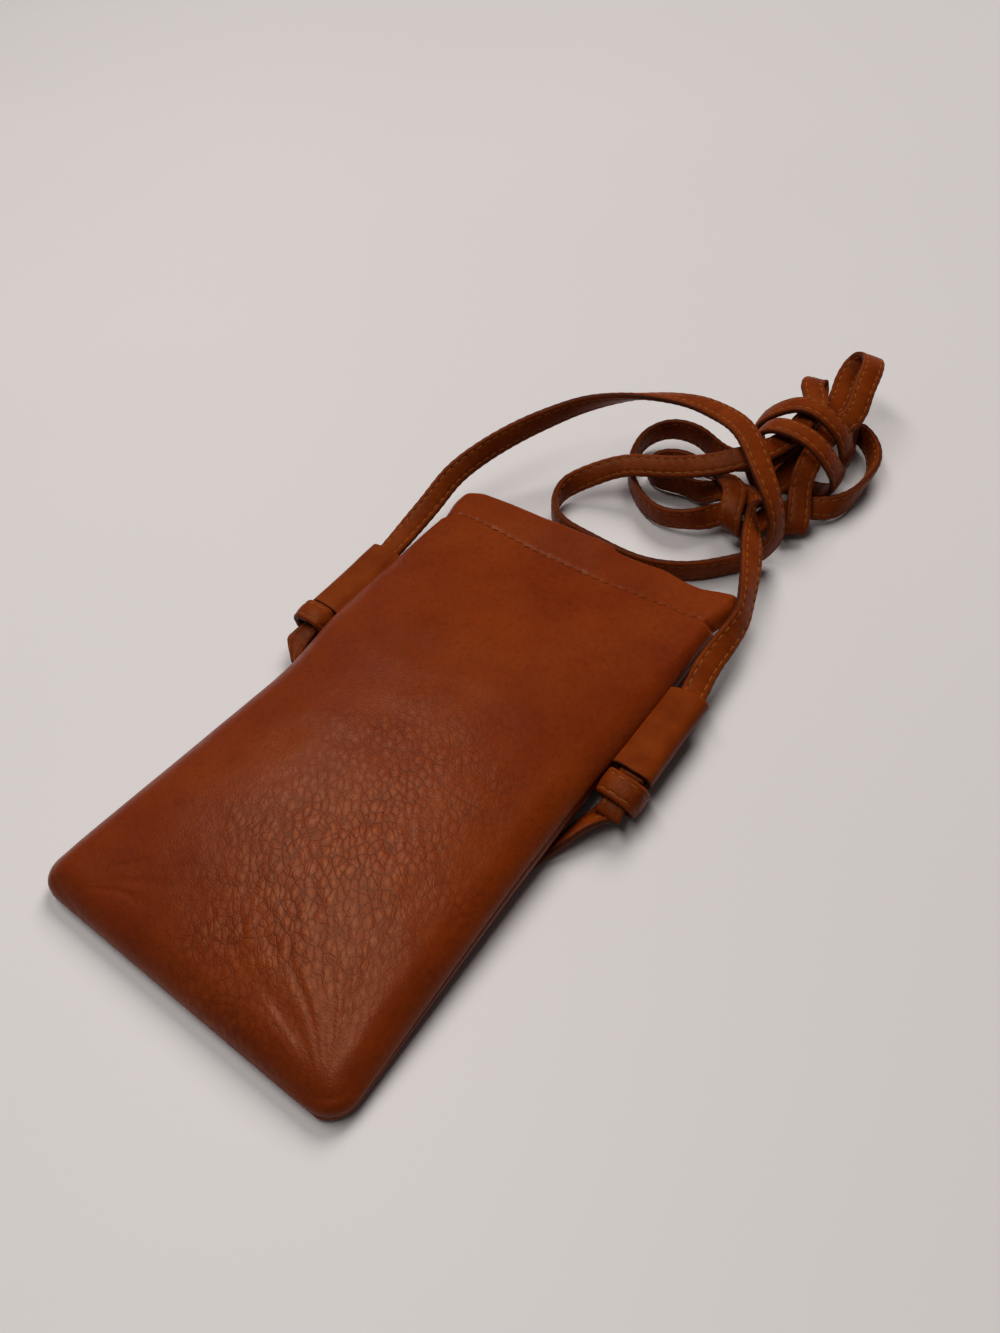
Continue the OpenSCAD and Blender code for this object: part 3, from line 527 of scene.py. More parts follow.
# %% Sweep a strap
STRAP_W, STRAP_T, STITCH_IN = 8.0, 2.5, 1.6
STITCH_PITCH, STITCH_L, STITCH_START = 3.4, 2.5, 1.0
FINE_STEP, TWIST_REACH, BEND_REACH, END_HOLD = 0.85, 9, 4.2, 20
GROOVE_HALF_W, GROOVE_SWELL, EDGE_SWELL = 0.6, 0.16, 0.016  # the swells are shares of the section
PAINT_FROM = 3.7
SECTION_TOP = [(-3.6, 0.88), (-3.15, 1.08), (-2.75, 1.1), (-2.4, 0.98), (-2.05, 1.14), (-1.2, 1.25),
               (0, 1.27), (1.2, 1.25), (2.05, 1.14), (2.4, 0.98), (2.75, 1.1), (3.15, 1.08), (3.6, 0.88)]
SECTION_SIDE = [(3.9, 0.52), (4.0, 0), (3.9, -0.52)]


def strap_section():
    """Points round the strap's section and whether each stretch to the next is painted edge."""
    top = SECTION_TOP
    bottom = [(x, -z) for x, z in reversed(top)]
    other_side = [(-x, -z) for x, z in SECTION_SIDE]
    points = top + SECTION_SIDE + bottom + other_side
    count = len(points)
    painted = [min(abs(points[i][0]), abs(points[(i + 1) % count][0])) > PAINT_FROM for i in range(count)]
    return np.array(points), painted


def arc_lengths(points):
    """How far along each point of a line lies."""
    return np.concatenate([[0], np.cumsum(np.linalg.norm(np.diff(points, axis=0), axis=1))])


def strap_frames(line):
    """Centres, width directions and thickness directions along a route's fine rows."""
    centres = line[:, :3]
    along = np.gradient(centres, axis=0)
    along /= np.linalg.norm(along, axis=1)[:, None]
    across = line[:, 3:6] - (line[:, 3:6] * along).sum(1)[:, None] * along
    across /= np.linalg.norm(across, axis=1)[:, None]
    return centres, across, np.cross(along, across)


def sweep_strap(name, line, widths=None, thicks=None, cuts=None):
    """A strap along a fine line. widths and thicks scale its section, cuts move its + edge in."""
    centres, across, up_dirs = strap_frames(line)
    section, painted = strap_section()
    rows, count = len(line), len(section)
    widths = np.ones(rows) if widths is None else widths
    thicks = np.ones(rows) if thicks is None else thicks
    cuts = np.zeros(rows) if cuts is None else cuts
    pull = np.cos(2 * math.pi * (arc_lengths(centres) - STITCH_START) / STITCH_PITCH)
    a = section[:, 0][None, :] * (widths - EDGE_SWELL * pull)[:, None]
    a = a - cuts[:, None] * (a + STRAP_W / 2) / STRAP_W
    sewn = np.exp(-((np.abs(section[:, 0]) - STRAP_W / 2 + STITCH_IN) / GROOVE_HALF_W) ** 2)
    b = section[:, 1][None, :] * (thicks[:, None] - GROOVE_SWELL * pull[:, None] * sewn[None, :])
    points = centres[:, None, :] + a[..., None] * across[:, None, :] + b[..., None] * up_dirs[:, None, :]
    faces = grid_faces(rows, count, wrap=True, flip=True)
    face_material = painted * (rows - 1)
    faces += [tuple(range(count)), tuple((rows - 1) * count + i for i in reversed(range(count)))]
    return mesh_piece(name, points.reshape(-1, 3), faces, [STRAP_LEATHER, EDGE_PAINT],
                      [int(p) for p in face_material] + [1, 1])


def same_way(rows):
    """The strap's two edges are alike, so a width may be turned round. This keeps neighbours alike."""
    rows = np.array(rows, float)
    for before, row in zip(rows, rows[1:]):
        if before[3:6] @ row[3:6] < 0:
            row[3:6] *= -1
    return rows


def ease(line, reach, columns):
    """Leather bends in long curves: each row takes the mean of the rows around it, save at the ends."""
    at = arc_lengths(line[:, :3])
    near = np.exp(-((at[:, None] - at[None, :]) / reach) ** 2)
    eased = near @ line / near.sum(1)[:, None]
    share = np.clip(np.minimum(at, at[-1] - at) / END_HOLD, 0, 1)[:, None]
    out = line.copy()
    out[:, columns] = (line + (eased - line) * share)[:, columns]
    return out


strap_line = smooth_line(same_way(STRAP_ROUTE), FINE_STEP)
strap_line = ease(ease(strap_line, TWIST_REACH, slice(3, 6)), BEND_REACH, slice(0, 3))
strap = sweep_strap("strap", strap_line)

# %% [markdown]
# Each stitch is a short rounded stretch of thread that rises out of one hole and dips into the
# next. At this distance the stitches are only just apart, but their row is what makes the strap
# read as sewn leather, so they are real geometry: a few flat-ended capsules with six sides.

# %% Make stitches
THREAD_D, THREAD_SUNK = 0.46, 0.24
STITCH_SIDES, STITCH_FACES = 6, 26  # four rings of six faces, and two ends
CAPSULE_AT = np.array([0.0, 0.12, 0.5, 0.88, 1.0])
CAPSULE_R = np.array([0.45, 0.95, 1.0, 0.95, 0.45])
CAPSULE_DIP = np.array([-0.75, -0.1, 0.15, -0.1, -0.75])


def stitch_piece(name, stitches, thread, thread_d=THREAD_D):
    """One mesh of many stitches, each a start, an end and the direction out of the leather."""
    radius, sides = thread_d / 2, STITCH_SIDES
    points, faces = [], []
    for start, end, out in stitches:
        run = end - start
        side = np.cross(run, out)
        side /= np.linalg.norm(side)
        base = len(points)
        for at, swell, dip in zip(CAPSULE_AT, CAPSULE_R, CAPSULE_DIP):
            centre = start + at * run + dip * radius * out
            for k in range(sides):
                turn = 2 * math.pi * k / sides
                points.append(centre + swell * radius * (math.cos(turn) * side + math.sin(turn) * out))
        rings = len(CAPSULE_AT)
        faces += [tuple(base + i for i in quad) for quad in grid_faces(rings, sides, wrap=True, flip=True)]
        faces += [tuple(base + k for k in range(sides)),
                  tuple(base + (rings - 1) * sides + k for k in reversed(range(sides)))]
    return mesh_piece(name, points, faces, [thread])


def strap_stitches(line, start=STITCH_START + 0.45, widths=None):
    """Stitches in two rows on both faces of a strap that runs along a fine line."""
    centres, across, up_dirs = strap_frames(line)
    at = arc_lengths(centres)
    widths = np.ones(len(line)) if widths is None else widths

    def here(where, values):
        return np.array([np.interp(where, at, values[:, k]) for k in range(3)]).T

    stitches = []
    for row in (-1, 1):
        for face in (-1, 1):
            starts = np.arange(start, at[-1] - STITCH_L, STITCH_PITCH)
            ends = starts + STITCH_L
            found = []
            for where in (starts, ends):
                reach = row * (STRAP_W / 2 - STITCH_IN) * np.interp(where, at, widths)
                found.append(here(where, centres) + reach[:, None] * here(where, across)
                             + face * (STRAP_T / 2 - THREAD_SUNK) * here(where, up_dirs))
            outs = face * here((starts + ends) / 2, up_dirs)
            stitches += list(zip(found[0], found[1], outs))
    return stitches


strap_sewing = stitch_piece("strap_sewing", strap_stitches(strap_line), STRAP_THREAD)
print("strap stitches:", len(strap_sewing.data.polygons) // STITCH_FACES)

# %% [markdown]
# Below each sleeve the strap's end is tied in an overhand knot, which stops it from slipping
# back. What shows is one wide turn of strap round two inner plies, and the end that comes out
# below. A whole knot could be swept along a knotted line, but its inside never shows, so only the
# turn is made: the same strap swept round a flattened ring, tipped down a little at its lower
# side, as the picture shows. Both ends are cut at a slant: the left one just below the knot,
# while the right one is longer and leans against the underside of the pouch.

# %% Knots and tails
KNOT_X, KNOT_Z = 58.9, 7.6
LEFT_KNOT, RIGHT_KNOT = (18.2, 5.3, 3.8), (16.6, 5.6, 4.0)
TUCKED_TURN, TURN_START, RING_POWER = 0.25, math.pi * 1.55, 2 / 2.7


def knot_turn(name, side, size, tip_down, slant):
    """The wide outer turn of a knot, a strap round a flattened ring whose axis tips down.

    size is its place along y, half its width and half its height, to the middle of the leather."""
    middle_y, half_w, half_h = size
    turns = np.linspace(-TUCKED_TURN, 1.0, 64) * 2 * math.pi + TURN_START
    ring_x = half_w * np.sign(np.cos(turns)) * np.abs(np.cos(turns)) ** RING_POWER
    ring_z = half_h * np.sign(np.sin(turns)) * np.abs(np.sin(turns)) ** RING_POWER

    # The first quarter of a turn comes out of the inside of the knot
    outside = np.clip((turns - turns[0]) / (TUCKED_TURN * 2 * math.pi), 0, 1)
    shrink = 0.45 + 0.55 * outside
    axis = np.array([slant, -math.cos(tip_down), -math.sin(tip_down)])
    axis /= np.linalg.norm(axis)
    out_x = np.array([1, 0, 0]) - axis[0] * axis
    out_x /= np.linalg.norm(out_x)
    out_z = np.cross(axis, out_x)
    centre = np.array([side * KNOT_X, middle_y, KNOT_Z])
    rows = (centre + (ring_x * shrink)[:, None] * out_x + (ring_z * shrink)[:, None] * out_z
            + (0.35 * np.sin(turns * 0.5))[:, None] * axis)
    line = np.hstack([rows, np.tile(axis, (len(rows), 1))])
    turn = sweep_strap(name, line)
    sewing = stitch_piece(name + "_sewing", strap_stitches(line, start=0.4), STRAP_THREAD)
    return [turn, sewing]


LEFT_TAIL = [[-58.4, 22, 8.4, -1, 0, 0], [-58.5, 18, 7.6, -1, 0, 0], [-58.5, 14, 6.9, -1, 0, 0],
             [-58.7, 11, 6.2, -1, 0, 0.05], [-58.7, 8.4, 5.4, -1, 0, 0.1], [-58.4, 5.4, 4.5, -1, 0, 0.1],
             [-58, 2.4, 3.7, -1, 0, 0.1]]
RIGHT_TAIL = [[58.6, 20, 6, 1, 0, 0], [58.5, 16, 5, 1, 0, 0], [58.1, 12.6, 4.6, 1, 0, 0.1],
              [57, 10, 4.4, 0.9, 0, 0.35], [55.4, 7, 4.2, 0.8, 0, 0.55], [54.1, 2.6, 4.1, 0.72, 0, 0.68],
              [52.7, -4, 3.8, 0.7, 0, 0.7], [50.6, -13, 3.5, 0.7, 0, 0.7]]
RIGHT_STUB = [[58.4, 22, 8.6, 1, 0, 0], [58.6, 18, 8.4, 1, 0, 0], [58.8, 14, 8, 1, 0, 0],
              [59, 11, 7, 1, 0, 0], [59, 9, 5.6, 1, 0, 0]]


def tail_piece(name, route, cut_over=0.0, cut_w=0.0):
    """A knot's free end, pinched inside the knot, and cut square or at a slant."""
    line = smooth_line(route, 1.0)
    at = arc_lengths(line[:, :3])
    inside = np.clip((line[:, 1] - 10) / 5, 0, 1)
    widths = 1 - 0.18 * inside
    cuts = cut_w * np.clip(1 - (at[-1] - at) / cut_over, 0, 1) if cut_over else None
    piece = sweep_strap(name, line, widths=widths, thicks=1 - 0.2 * inside, cuts=cuts)
    sewn = int(np.searchsorted(at, at[-1] - cut_over)) if cut_over else len(line)
    sewing = stitch_piece(name + "_sewing", strap_stitches(line[:sewn], widths=widths[:sewn]),
                          STRAP_THREAD)
    return [piece, sewing]


knot_pieces = (
    knot_turn("left_knot_turn", -1, LEFT_KNOT, math.radians(4), 0.05)
    + knot_turn("right_knot_turn", 1, RIGHT_KNOT, math.radians(20), -0.06)
    + tail_piece("left_strap_tail", LEFT_TAIL, cut_over=6.5, cut_w=6.2)
    + tail_piece("right_strap_tail", RIGHT_TAIL, cut_over=19, cut_w=6.4)
    + tail_piece("right_strap_stub", RIGHT_STUB)
)
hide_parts("strap_left_run", "strap_bundle", "strap_right_run")
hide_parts("left_knot")
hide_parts("right_knot")
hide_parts("left_tail")
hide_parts("right_tail")
for piece in [strap, strap_sewing] + knot_pieces:
    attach(piece, "root")

print("knot pieces:", [piece.name for piece in knot_pieces])

# %% [markdown]
# ## The sleeves
# Each sleeve is one leather tab, wrapped round the strap with both its ends sewn into the side
# seam. So it is made as what it is: one sheet, whose profile starts in the seam, goes over the
# strap, round its outer edge and back under it. Its cut ends get the edge paint.

# %% Two sleeves
SLEEVE_Y, SLEEVE_L, SLEEVE_T = 22.5, 31.0, 1.4
HALF_W = 52.5
SLEEVE_PROFILE = [(-2.6, 9.85), (-0.6, 9.95), (0.6, 10.35), (2.4, 10.95), (5.6, 11.05), (8.7, 10.95),
                  (10.4, 10.2), (11.05, 8.6), (10.4, 7), (8.7, 6.25), (5.6, 6.15), (2.8, 6.3),
                  (1.1, 7), (0.35, 8.4), (-0.8, 9.05), (-2.6, 9.15)]
SLEEVE_MIDDLE = np.array([5.9, 8.6])


def sleeve_piece(name, side):
    """A tab wrapped round the strap. Its middle is a little slack and its two ends flare."""
    profile = smooth_line([[x, z, 0] for x, z in SLEEVE_PROFILE], 0.5)[:, :2]
    stations = np.linspace(0, 1, 48)
    points = []
    for t in stations:
        flare = 1 + 0.025 * math.cos(2 * math.pi * t) + 0.012 * noise.noise(Vector((7 * t, side, 0)))
        end_x = np.clip((profile[:, 0] - 1) / 6, 0, 1)
        shape = SLEEVE_MIDDLE + (profile - SLEEVE_MIDDLE) * (1 + (flare - 1) * end_x[:, None])
        sway = 0.25 * math.sin(3.1 * t + side)
        slope = 0.5 * end_x * (1 if side > 0 else -0.6)
        y = SLEEVE_Y + SLEEVE_L * t + (slope * (t - 0.5) * 2)
        points.append(np.stack([side * (HALF_W + shape[:, 0] + sway * end_x), y, shape[:, 1]], 1))
    points = np.array(points)
    obj = mesh_piece(name, points.reshape(-1, 3), grid_faces(*points.shape[:2], flip=side < 0),
                     [STRAP_LEATHER, EDGE_PAINT])
    give_thickness(obj, SLEEVE_T, offset=0, rim_material=1)
    return obj


left_tab = sleeve_piece("left_tab", -1)
right_tab = sleeve_piece("right_tab", 1)
for tab, node in ((left_tab, "left_sleeve"), (right_tab, "right_sleeve")):
    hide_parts(node)
    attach(tab, "root")
print("sleeves:", left_tab.name, right_tab.name, SLEEVE_L, "mm long")

# %% [markdown]
# ## The pouch
# The pouch is two panels of leather, sewn face to face and turned out, so the seam lies in a
# shallow valley along the sides and the bottom. Empty, it lies like a thin pillow: the front
# swells in the middle and sinks towards the mouth, the back lies flat on the table. The swelling
# draws the sides in, so the two bottom corners are left standing out, and the seam sinks to the
# table there. A few tables of heights and widths along the pouch, read off the picture's
# outline, give that form, and one function turns the distance from the edge into the swell.

# %% Shape of the body
SEAM_Z, HEM_Y, MOUTH_Y, MOUTH_HALF = 9.5, 77.0, 92.5, 3.5
MOUTH_TAPER, LIP_GAP, LEATHER_T = 50.0, 0.2, 1.3
BOTTOM_Y, CORNER_R = -94.0, 8.5
FRONT_ROLL, BOTTOM_ROLL, BACK_ROLL, MOUTH_ROLL = 8.0, 9.5, 7.0, 4.5
HALF_WIDTHS = [(-94, 57), (-80, 56.2), (-60, 54.4), (-40, 52.8), (-20, 51.4), (-5, 50.8), (8, 51.3),
               (24, 52.4), (54, 52.5), (93, 52.5)]
LEAN = [(-94, -4), (-80, -3.3), (-60, -1.9), (-40, -0.6), (-20, 0.5), (-5, 1.1), (8, 0.7), (24, 0), (93, 0)]
SEAM_HEIGHTS = [(-94, 2.6), (-80, 3.6), (-60, 5.4), (-40, 7.2), (-20, 8.6), (0, 9.3), (14, 9.5), (93, 9.5)]
TOP_HEIGHTS = [(-94, 14), (-80, 15.4), (-60, 17.4), (-40, 18.9), (-20, 19.9), (0, 20.3), (20, 20.1),
               (36, 19), (52, 16.7), (66, 14.2), (77, 13), (93, 13)]


def along(y, table):
    """A table's value at y, on a smooth curve through its points."""
    line = smooth_line([[a, b, 0] for a, b in table], 1.0)
    return np.interp(y, line[:, 0], line[:, 1])


def smooth(t):
    t = np.clip(t, 0, 1)
    return t * t * (3 - 2 * t)


def mix(a, b, t):
    return a + (b - a) * t


def to_mouth(y):
    return smooth((y - (HEM_Y - MOUTH_TAPER)) / MOUTH_TAPER)


def outline_half(y, inset=0.0):
    """Half width of the pouch at y, with round corners. Below the hem's ends there is a nick."""
    radius = max(0.5, CORNER_R - inset)
    above = np.clip(y - BOTTOM_Y - inset, 0, radius)
    corner = radius - np.sqrt(np.maximum(0, radius ** 2 - (radius - above) ** 2))
    nick = 1.1 * np.exp(-((y - HEM_Y - 0.6) / 0.7) ** 2)
    hem_end = 1.9 * smooth((y - HEM_Y - 1) / 10) - 0.6 * smooth((y - HEM_Y + 0.5) / 1.5)
    return along(y, HALF_WIDTHS) - inset - corner + hem_end - nick


def swell(from_side, from_bottom, side_roll, bottom_roll):
    """From 0 at the seam to 1 on the face: a round edge, then a long slope. Slopes meet in a soft ridge."""
    def nearer(a, b):
        return np.minimum(a, b) - 0.1 * np.exp(-(np.abs(a - b) / 0.2))
    edge = np.clip(nearer(from_side / side_roll, from_bottom / bottom_roll), 0, 1)
    slope = np.clip(nearer(from_side / 40, from_bottom / 48), 0, 1)
    return 0.46 * np.sqrt(1 - (1 - edge) ** 2) + 0.54 * (1 - (1 - slope) ** 2)


print("half width at the waist:", round(float(outline_half(np.array([-5.0]))[0]), 1), "mm")

# %% [markdown]
# The lips were read off the picture at a dozen places. From the left corner the edge stands a
# little high, drops in one short fold right of the middle, and rises again to the right corner.
# The row of stitches sags in the middle instead. Both waves are small heights along the width,
# and the surface blends from one to the other.

# %% Waves of the lips
LIP_WAVE = [(-52.5, -0.6), (-38, 0), (-22, 0), (-8, 0.6), (2, 0.6), (6.5, 0.2), (10, -1.4), (18, -1.3),
            (27, -0.5), (33, -1.3), (39, -1.4), (46, -0.2), (52.5, 0.6)]
STITCH_WAVE = [(-52.5, 0), (-38, 0.8), (-26, 0), (-13, -1.2), (0, -1.4), (13, -1.4), (26, -0.4),
               (38, 0.2), (52.5, 0)]


def wave(x, table):
    """Height of a wave at x, smoothly through the points of its table."""
    line = smooth_line([[a, b, 0] for a, b in table], 0.5)
    return np.interp(x, line[:, 0], line[:, 1])


def lip_shift(x, y):
    """How far the leather near the mouth lies from the plain shape, along y and z."""
    up_hem = np.clip((y - HEM_Y) / (MOUTH_Y - HEM_Y), 0, 1)
    near_hem = smooth((y - HEM_Y + 16) / 16)
    size = mix(wave(x, STITCH_WAVE), wave(x, LIP_WAVE), up_hem) * near_hem
    # The right end of the hem stands up a little and the left end slopes down
    ends = 1.2 * smooth((x - 40) / 12) - 2.3 * smooth((-x - 45) / 8)
    return 0.6 * size + ends * near_hem, 0.5 * size


def hem_profile(from_side):
    """From 0 where the two lips meet at the sides to 1: the hem's ends are rounded off."""
    return 1 - (1 - np.clip(from_side / 4.5, 0, 1)) ** 2.4


print("lip in the fold:", round(float(wave(10.0, LIP_WAVE)), 1), "mm")

# %% [markdown]
# Soft leather shows where it has been bent. Long fine creases run out from the two bottom
# corners, where the leather is drawn over the edge, short gathers hang from the row of stitches,
# and a slow unevenness lies over the whole panel. They are small moves of the surface along its
# normal, so that light catches them from every side. Noise over angle and distance from a corner
# gives creases that run away from it and widen.

# %% Creases of the leather
CREASE_FANS = [
    # corner x, y, first and last angle in degrees, inner and outer reach, depth
    (50, -92, 98, 170, 6, 78, 0.26),
    (-52, -92, 10, 80, 6, 52, 0.2),
    (50, 82, 188, 262, 3, 26, 0.24),
]
GATHERS_X = [-46, -39, -31, -24.5, -17, -9, -2, 5, 11, 18.5, 26, 33, 39.5, 46]


def low_noise(x, y, size, seed):
    """Smooth noise whose waves are about size millimetres wide."""
    places = zip(x.ravel() / size, y.ravel() / size)
    return np.array([noise.noise(Vector((a, b, seed))) for a, b in places]).reshape(x.shape)


def creases(x, y, side):
    """How far the leather stands out, in millimetres."""
    # A slow unevenness, less of it on the back, which the table presses flat
    height = 0.45 * low_noise(x, y, 26, 3.1 + side) + 0.16 * low_noise(x, y, 8, 9.7 + side)
    if side < 0:
        return height * 0.6

    # Long creases that fan out from the corners. Noise along the angle makes them run outwards.
    bend = 0.12 * low_noise(x, y, 22, 5.5)
    for cx, cy, first, last, inner, outer, depth in CREASE_FANS:
        reach = np.hypot(x - cx, y - cy)
        angle = np.degrees(np.arctan2(y - cy, x - cx)) % 360
        fan = low_noise(angle / 4.2 + 14 * bend, reach / 24, 1, cx + 0.5)
        window = smooth((angle - first) / 16) * smooth((last - angle) / 16)
        window = window * smooth((reach - inner) / 12) * smooth((outer - reach) / (0.6 * outer))
        height = height + depth * fan * window

    # Short gathers below the row of stitches, each of its own length and lean
    for k, gx in enumerate(GATHERS_X):
        drift = gx + 0.12 * (HEM_Y - y) * math.sin(2.3 * k)
        length = 7 + 5 * ((k * 5) % 4) / 3
        fade = np.exp(-np.maximum(0, HEM_Y + 1 - y) / length) * smooth((HEM_Y + 3 - y) / 3)
        height -= (0.2 + 0.1 * math.sin(3.7 * k)) * np.exp(-((x - drift) / 1.3) ** 2) * fade
    return height

# %% [markdown]
# A panel is one grid of points: from the bottom seam up the body, over the hem, round the fold of
# the lip and down its inner ply. The columns crowd towards the sides and the rows towards the
# bottom edge, where the leather turns. First comes its plan, as if it lay flat, and then how far
# each point rises out of the plane of the seam.

# %% Plan and rise of a panel
COLUMNS, BODY_ROWS, HEM_ROWS = 201, 240, 30
HEM_STITCH_Y, HEM_HOLE_X = HEM_Y + 1.2, 1.65
BACK_HEM_IN = 1.3  # the back hem's ends are this much narrower than the front's


def panel_plan(side):
    """x, y and the distance from the side of each point, for side 1, the front, or -1, the back."""
    across = np.sin(np.linspace(-1, 1, COLUMNS) * math.pi / 2)
    body = mix(BOTTOM_Y, HEM_Y, (1 - np.cos(np.linspace(0, 1, BODY_ROWS) * math.pi / 2)))
    hem = np.linspace(HEM_Y, MOUTH_Y - 1.6, HEM_ROWS + 1)[1:]
    y = np.concatenate([body, hem])[:, None]
    half = outline_half(y)
    if side < 0:
        half = half - BACK_HEM_IN * smooth((y - HEM_Y - 1) / 4)
    x = along(y, LEAN) + across[None, :] * half
    return x, np.broadcast_to(y, x.shape).copy(), half - np.abs(x - along(y, LEAN))


def panel_rise(side, y, from_side):
    """Height over the plane of the seam: a pillow that turns into the two flat lips of the mouth."""
    row_y, from_bottom = y[:, :1], y - BOTTOM_Y
    seam_z = along(row_y, SEAM_HEIGHTS)
    if side > 0:
        height = along(row_y, TOP_HEIGHTS) - seam_z
        roll = mix(FRONT_ROLL, MOUTH_ROLL, to_mouth(row_y))
        rise = height * swell(from_side, from_bottom, roll, BOTTOM_ROLL)
        return mix(rise, height * hem_profile(from_side), smooth((y - HEM_Y + 30) / 30))
    roll = mix(BACK_ROLL, MOUTH_HALF, to_mouth(row_y))
    near = np.clip(np.minimum(from_side / roll, from_bottom / BACK_ROLL), 0, 1)
    rise = mix(seam_z, MOUTH_HALF, to_mouth(row_y)) * np.sqrt(1 - (1 - near) ** 2)
    return mix(rise, MOUTH_HALF * hem_profile(from_side), smooth((y - HEM_Y + 10) / 10))


def stitch_groove(x, y, from_side):
    """How deep the row of stitches pulls the leather in: most at the holes between two stitches."""
    at_hole = 0.5 + 0.5 * np.cos(2 * math.pi * (x - HEM_HOLE_X) / STITCH_PITCH)
    across = np.exp(-((y - HEM_STITCH_Y) / (0.8 + 0.4 * at_hole)) ** 2)
    return (0.12 + 0.2 * at_hole) * across * smooth(from_side / 3)

# %% [markdown]
# Three things are done to the surface once it has its height. The creases move it along its own
# normal. The seam is pulled into a shallow valley. And above the hem's last row come the fold of
# the lip and the inner ply, which is cut a little narrower than the outer one, so that it stays
# hidden when the mouth is shut.

# %% Panels of leather
FOLD_ROWS, PLY_ROWS, PLY_IN = 12, 8, 2.2
VALLEY_DEPTH, VALLEY_W = 0.7, 0.7


def crease_surface(points, side, free_edge):
    """Moves the surface by its creases, which fade out towards the seam."""
    along_x, along_y = np.gradient(points, axis=1), np.gradient(points, axis=0)
    normal = side * np.cross(along_x, along_y)
    normal /= np.maximum(np.linalg.norm(normal, axis=2), 1e-9)[..., None]
    moved = creases(points[..., 0], points[..., 1], side) * free_edge
    return points + moved[..., None] * normal


def seam_valley(x, y, rise):
    """How the leather next to the seam is drawn inwards."""
    depth = VALLEY_DEPTH * np.exp(-(rise / VALLEY_W) ** 2) * smooth((HEM_Y - y) / 3)
    lean, core = along(y, LEAN), along(y, HALF_WIDTHS) - CORNER_R
    core_x = np.sign(x - lean) * np.maximum(np.abs(x - lean) - core, 0)
    outwards = np.stack([core_x, np.minimum(y - BOTTOM_Y - CORNER_R, 0), 0 * x], 2)
    outwards /= np.maximum(np.linalg.norm(outwards, axis=2), 1e-9)[..., None]
    return -depth[..., None] * outwards


def fold_rows(top, side):
    """Rows of the fold and the inner ply, from the hem's last row."""
    radius = np.maximum(0.25, (np.abs(top[:, 2] - SEAM_Z) - LIP_GAP) / 2)
    rows = []
    for turn in np.linspace(0, math.pi, FOLD_ROWS + 1)[1:]:
        narrower = 1 - PLY_IN / HALF_W * (1 - math.cos(turn)) / 2
        rows.append(np.stack([top[:, 0] * narrower, top[:, 1] + radius * math.sin(turn),
                              top[:, 2] - side * radius * (1 - math.cos(turn))], 1))
    edge = rows[-1]
    for ply_y in np.linspace(edge[0, 1], HEM_Y - 0.6, PLY_ROWS + 1)[1:]:
        narrower = outline_half(max(ply_y, HEM_Y + 3)) / outline_half(edge[0, 1])
        rows.append(np.stack([edge[:, 0] * narrower, edge[:, 1] + ply_y - edge[0, 1], edge[:, 2]], 1))
    return np.array(rows)


def panel_grid(side):
    """Outer face of a panel, row by row."""
    x, y, from_side = panel_plan(side)
    rise = panel_rise(side, y, from_side) - stitch_groove(x, y, from_side)
    points = np.stack([x, y, along(y, SEAM_HEIGHTS) + side * rise], 2)
    free_edge = smooth(np.minimum(from_side, y - BOTTOM_Y) / 5)
    points = crease_surface(points, side, free_edge) + seam_valley(x, y, rise)
    points = np.concatenate([points, fold_rows(points[-1], side)])

    # Waves of the lips: the folded rows follow the row that they hang from
    shift_y, shift_z = lip_shift(points[..., 0], np.minimum(points[..., 1], MOUTH_Y))
    points[..., 1] += shift_y
    points[..., 2] += shift_z
    return points


front_grid, back_grid = panel_grid(1), panel_grid(-1)
back_grid[..., 2] = np.maximum(back_grid[..., 2], 0.0)
front_leather = mesh_piece("front_leather", front_grid.reshape(-1, 3), grid_faces(*front_grid.shape[:2]),
                           [COWHIDE, EDGE_PAINT])
back_leather = mesh_piece("back_leather", back_grid.reshape(-1, 3),
                          grid_faces(*back_grid.shape[:2], flip=True), [COWHIDE, EDGE_PAINT])
for panel in (front_leather, back_leather):
    give_thickness(panel, LEATHER_T, rim_material=1)
print("front leather:", front_grid.shape, "top", round(front_grid[..., 2].max(), 2), "mm")

# %% [markdown]
# Squeezing the ends of the mouth bows the two spring strips apart. Each lip then follows its own
# joint in the middle, and the hinge ends at the sides, which rise by 6.5 mm as the front rises
# by 18 mm. The back lip sinks while its ends rise. The pieces over the lips only have their
# transforms baked into their meshes here; their points get no weights.

# %% Transforms of the pieces over the lips baked in
PIN_SPAN = 97.0


def follow_lip(obj):
    """Bakes a piece's transform into its mesh and reads its points into an array that is not used."""
    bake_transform(obj)
    points = np.empty(len(obj.data.vertices) * 3)
    obj.data.vertices.foreach_get("co", points)


follow_lip(front_leather)
follow_lip(back_leather)
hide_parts("front_panel", "front_casing")
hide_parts("back_panel", "back_casing")

# %% [markdown]
# The hem is closed with one row of stitches, sunk in the groove that they pull. They are placed
# on the finished surface: each looks up the height of the leather under its two ends.

# %% Stitches of the hems
HEM_THREAD_D, HEM_ENDS, STITCH_SLANT, STITCH_PROUD = 0.5, 8.0, 0.28, 0.06


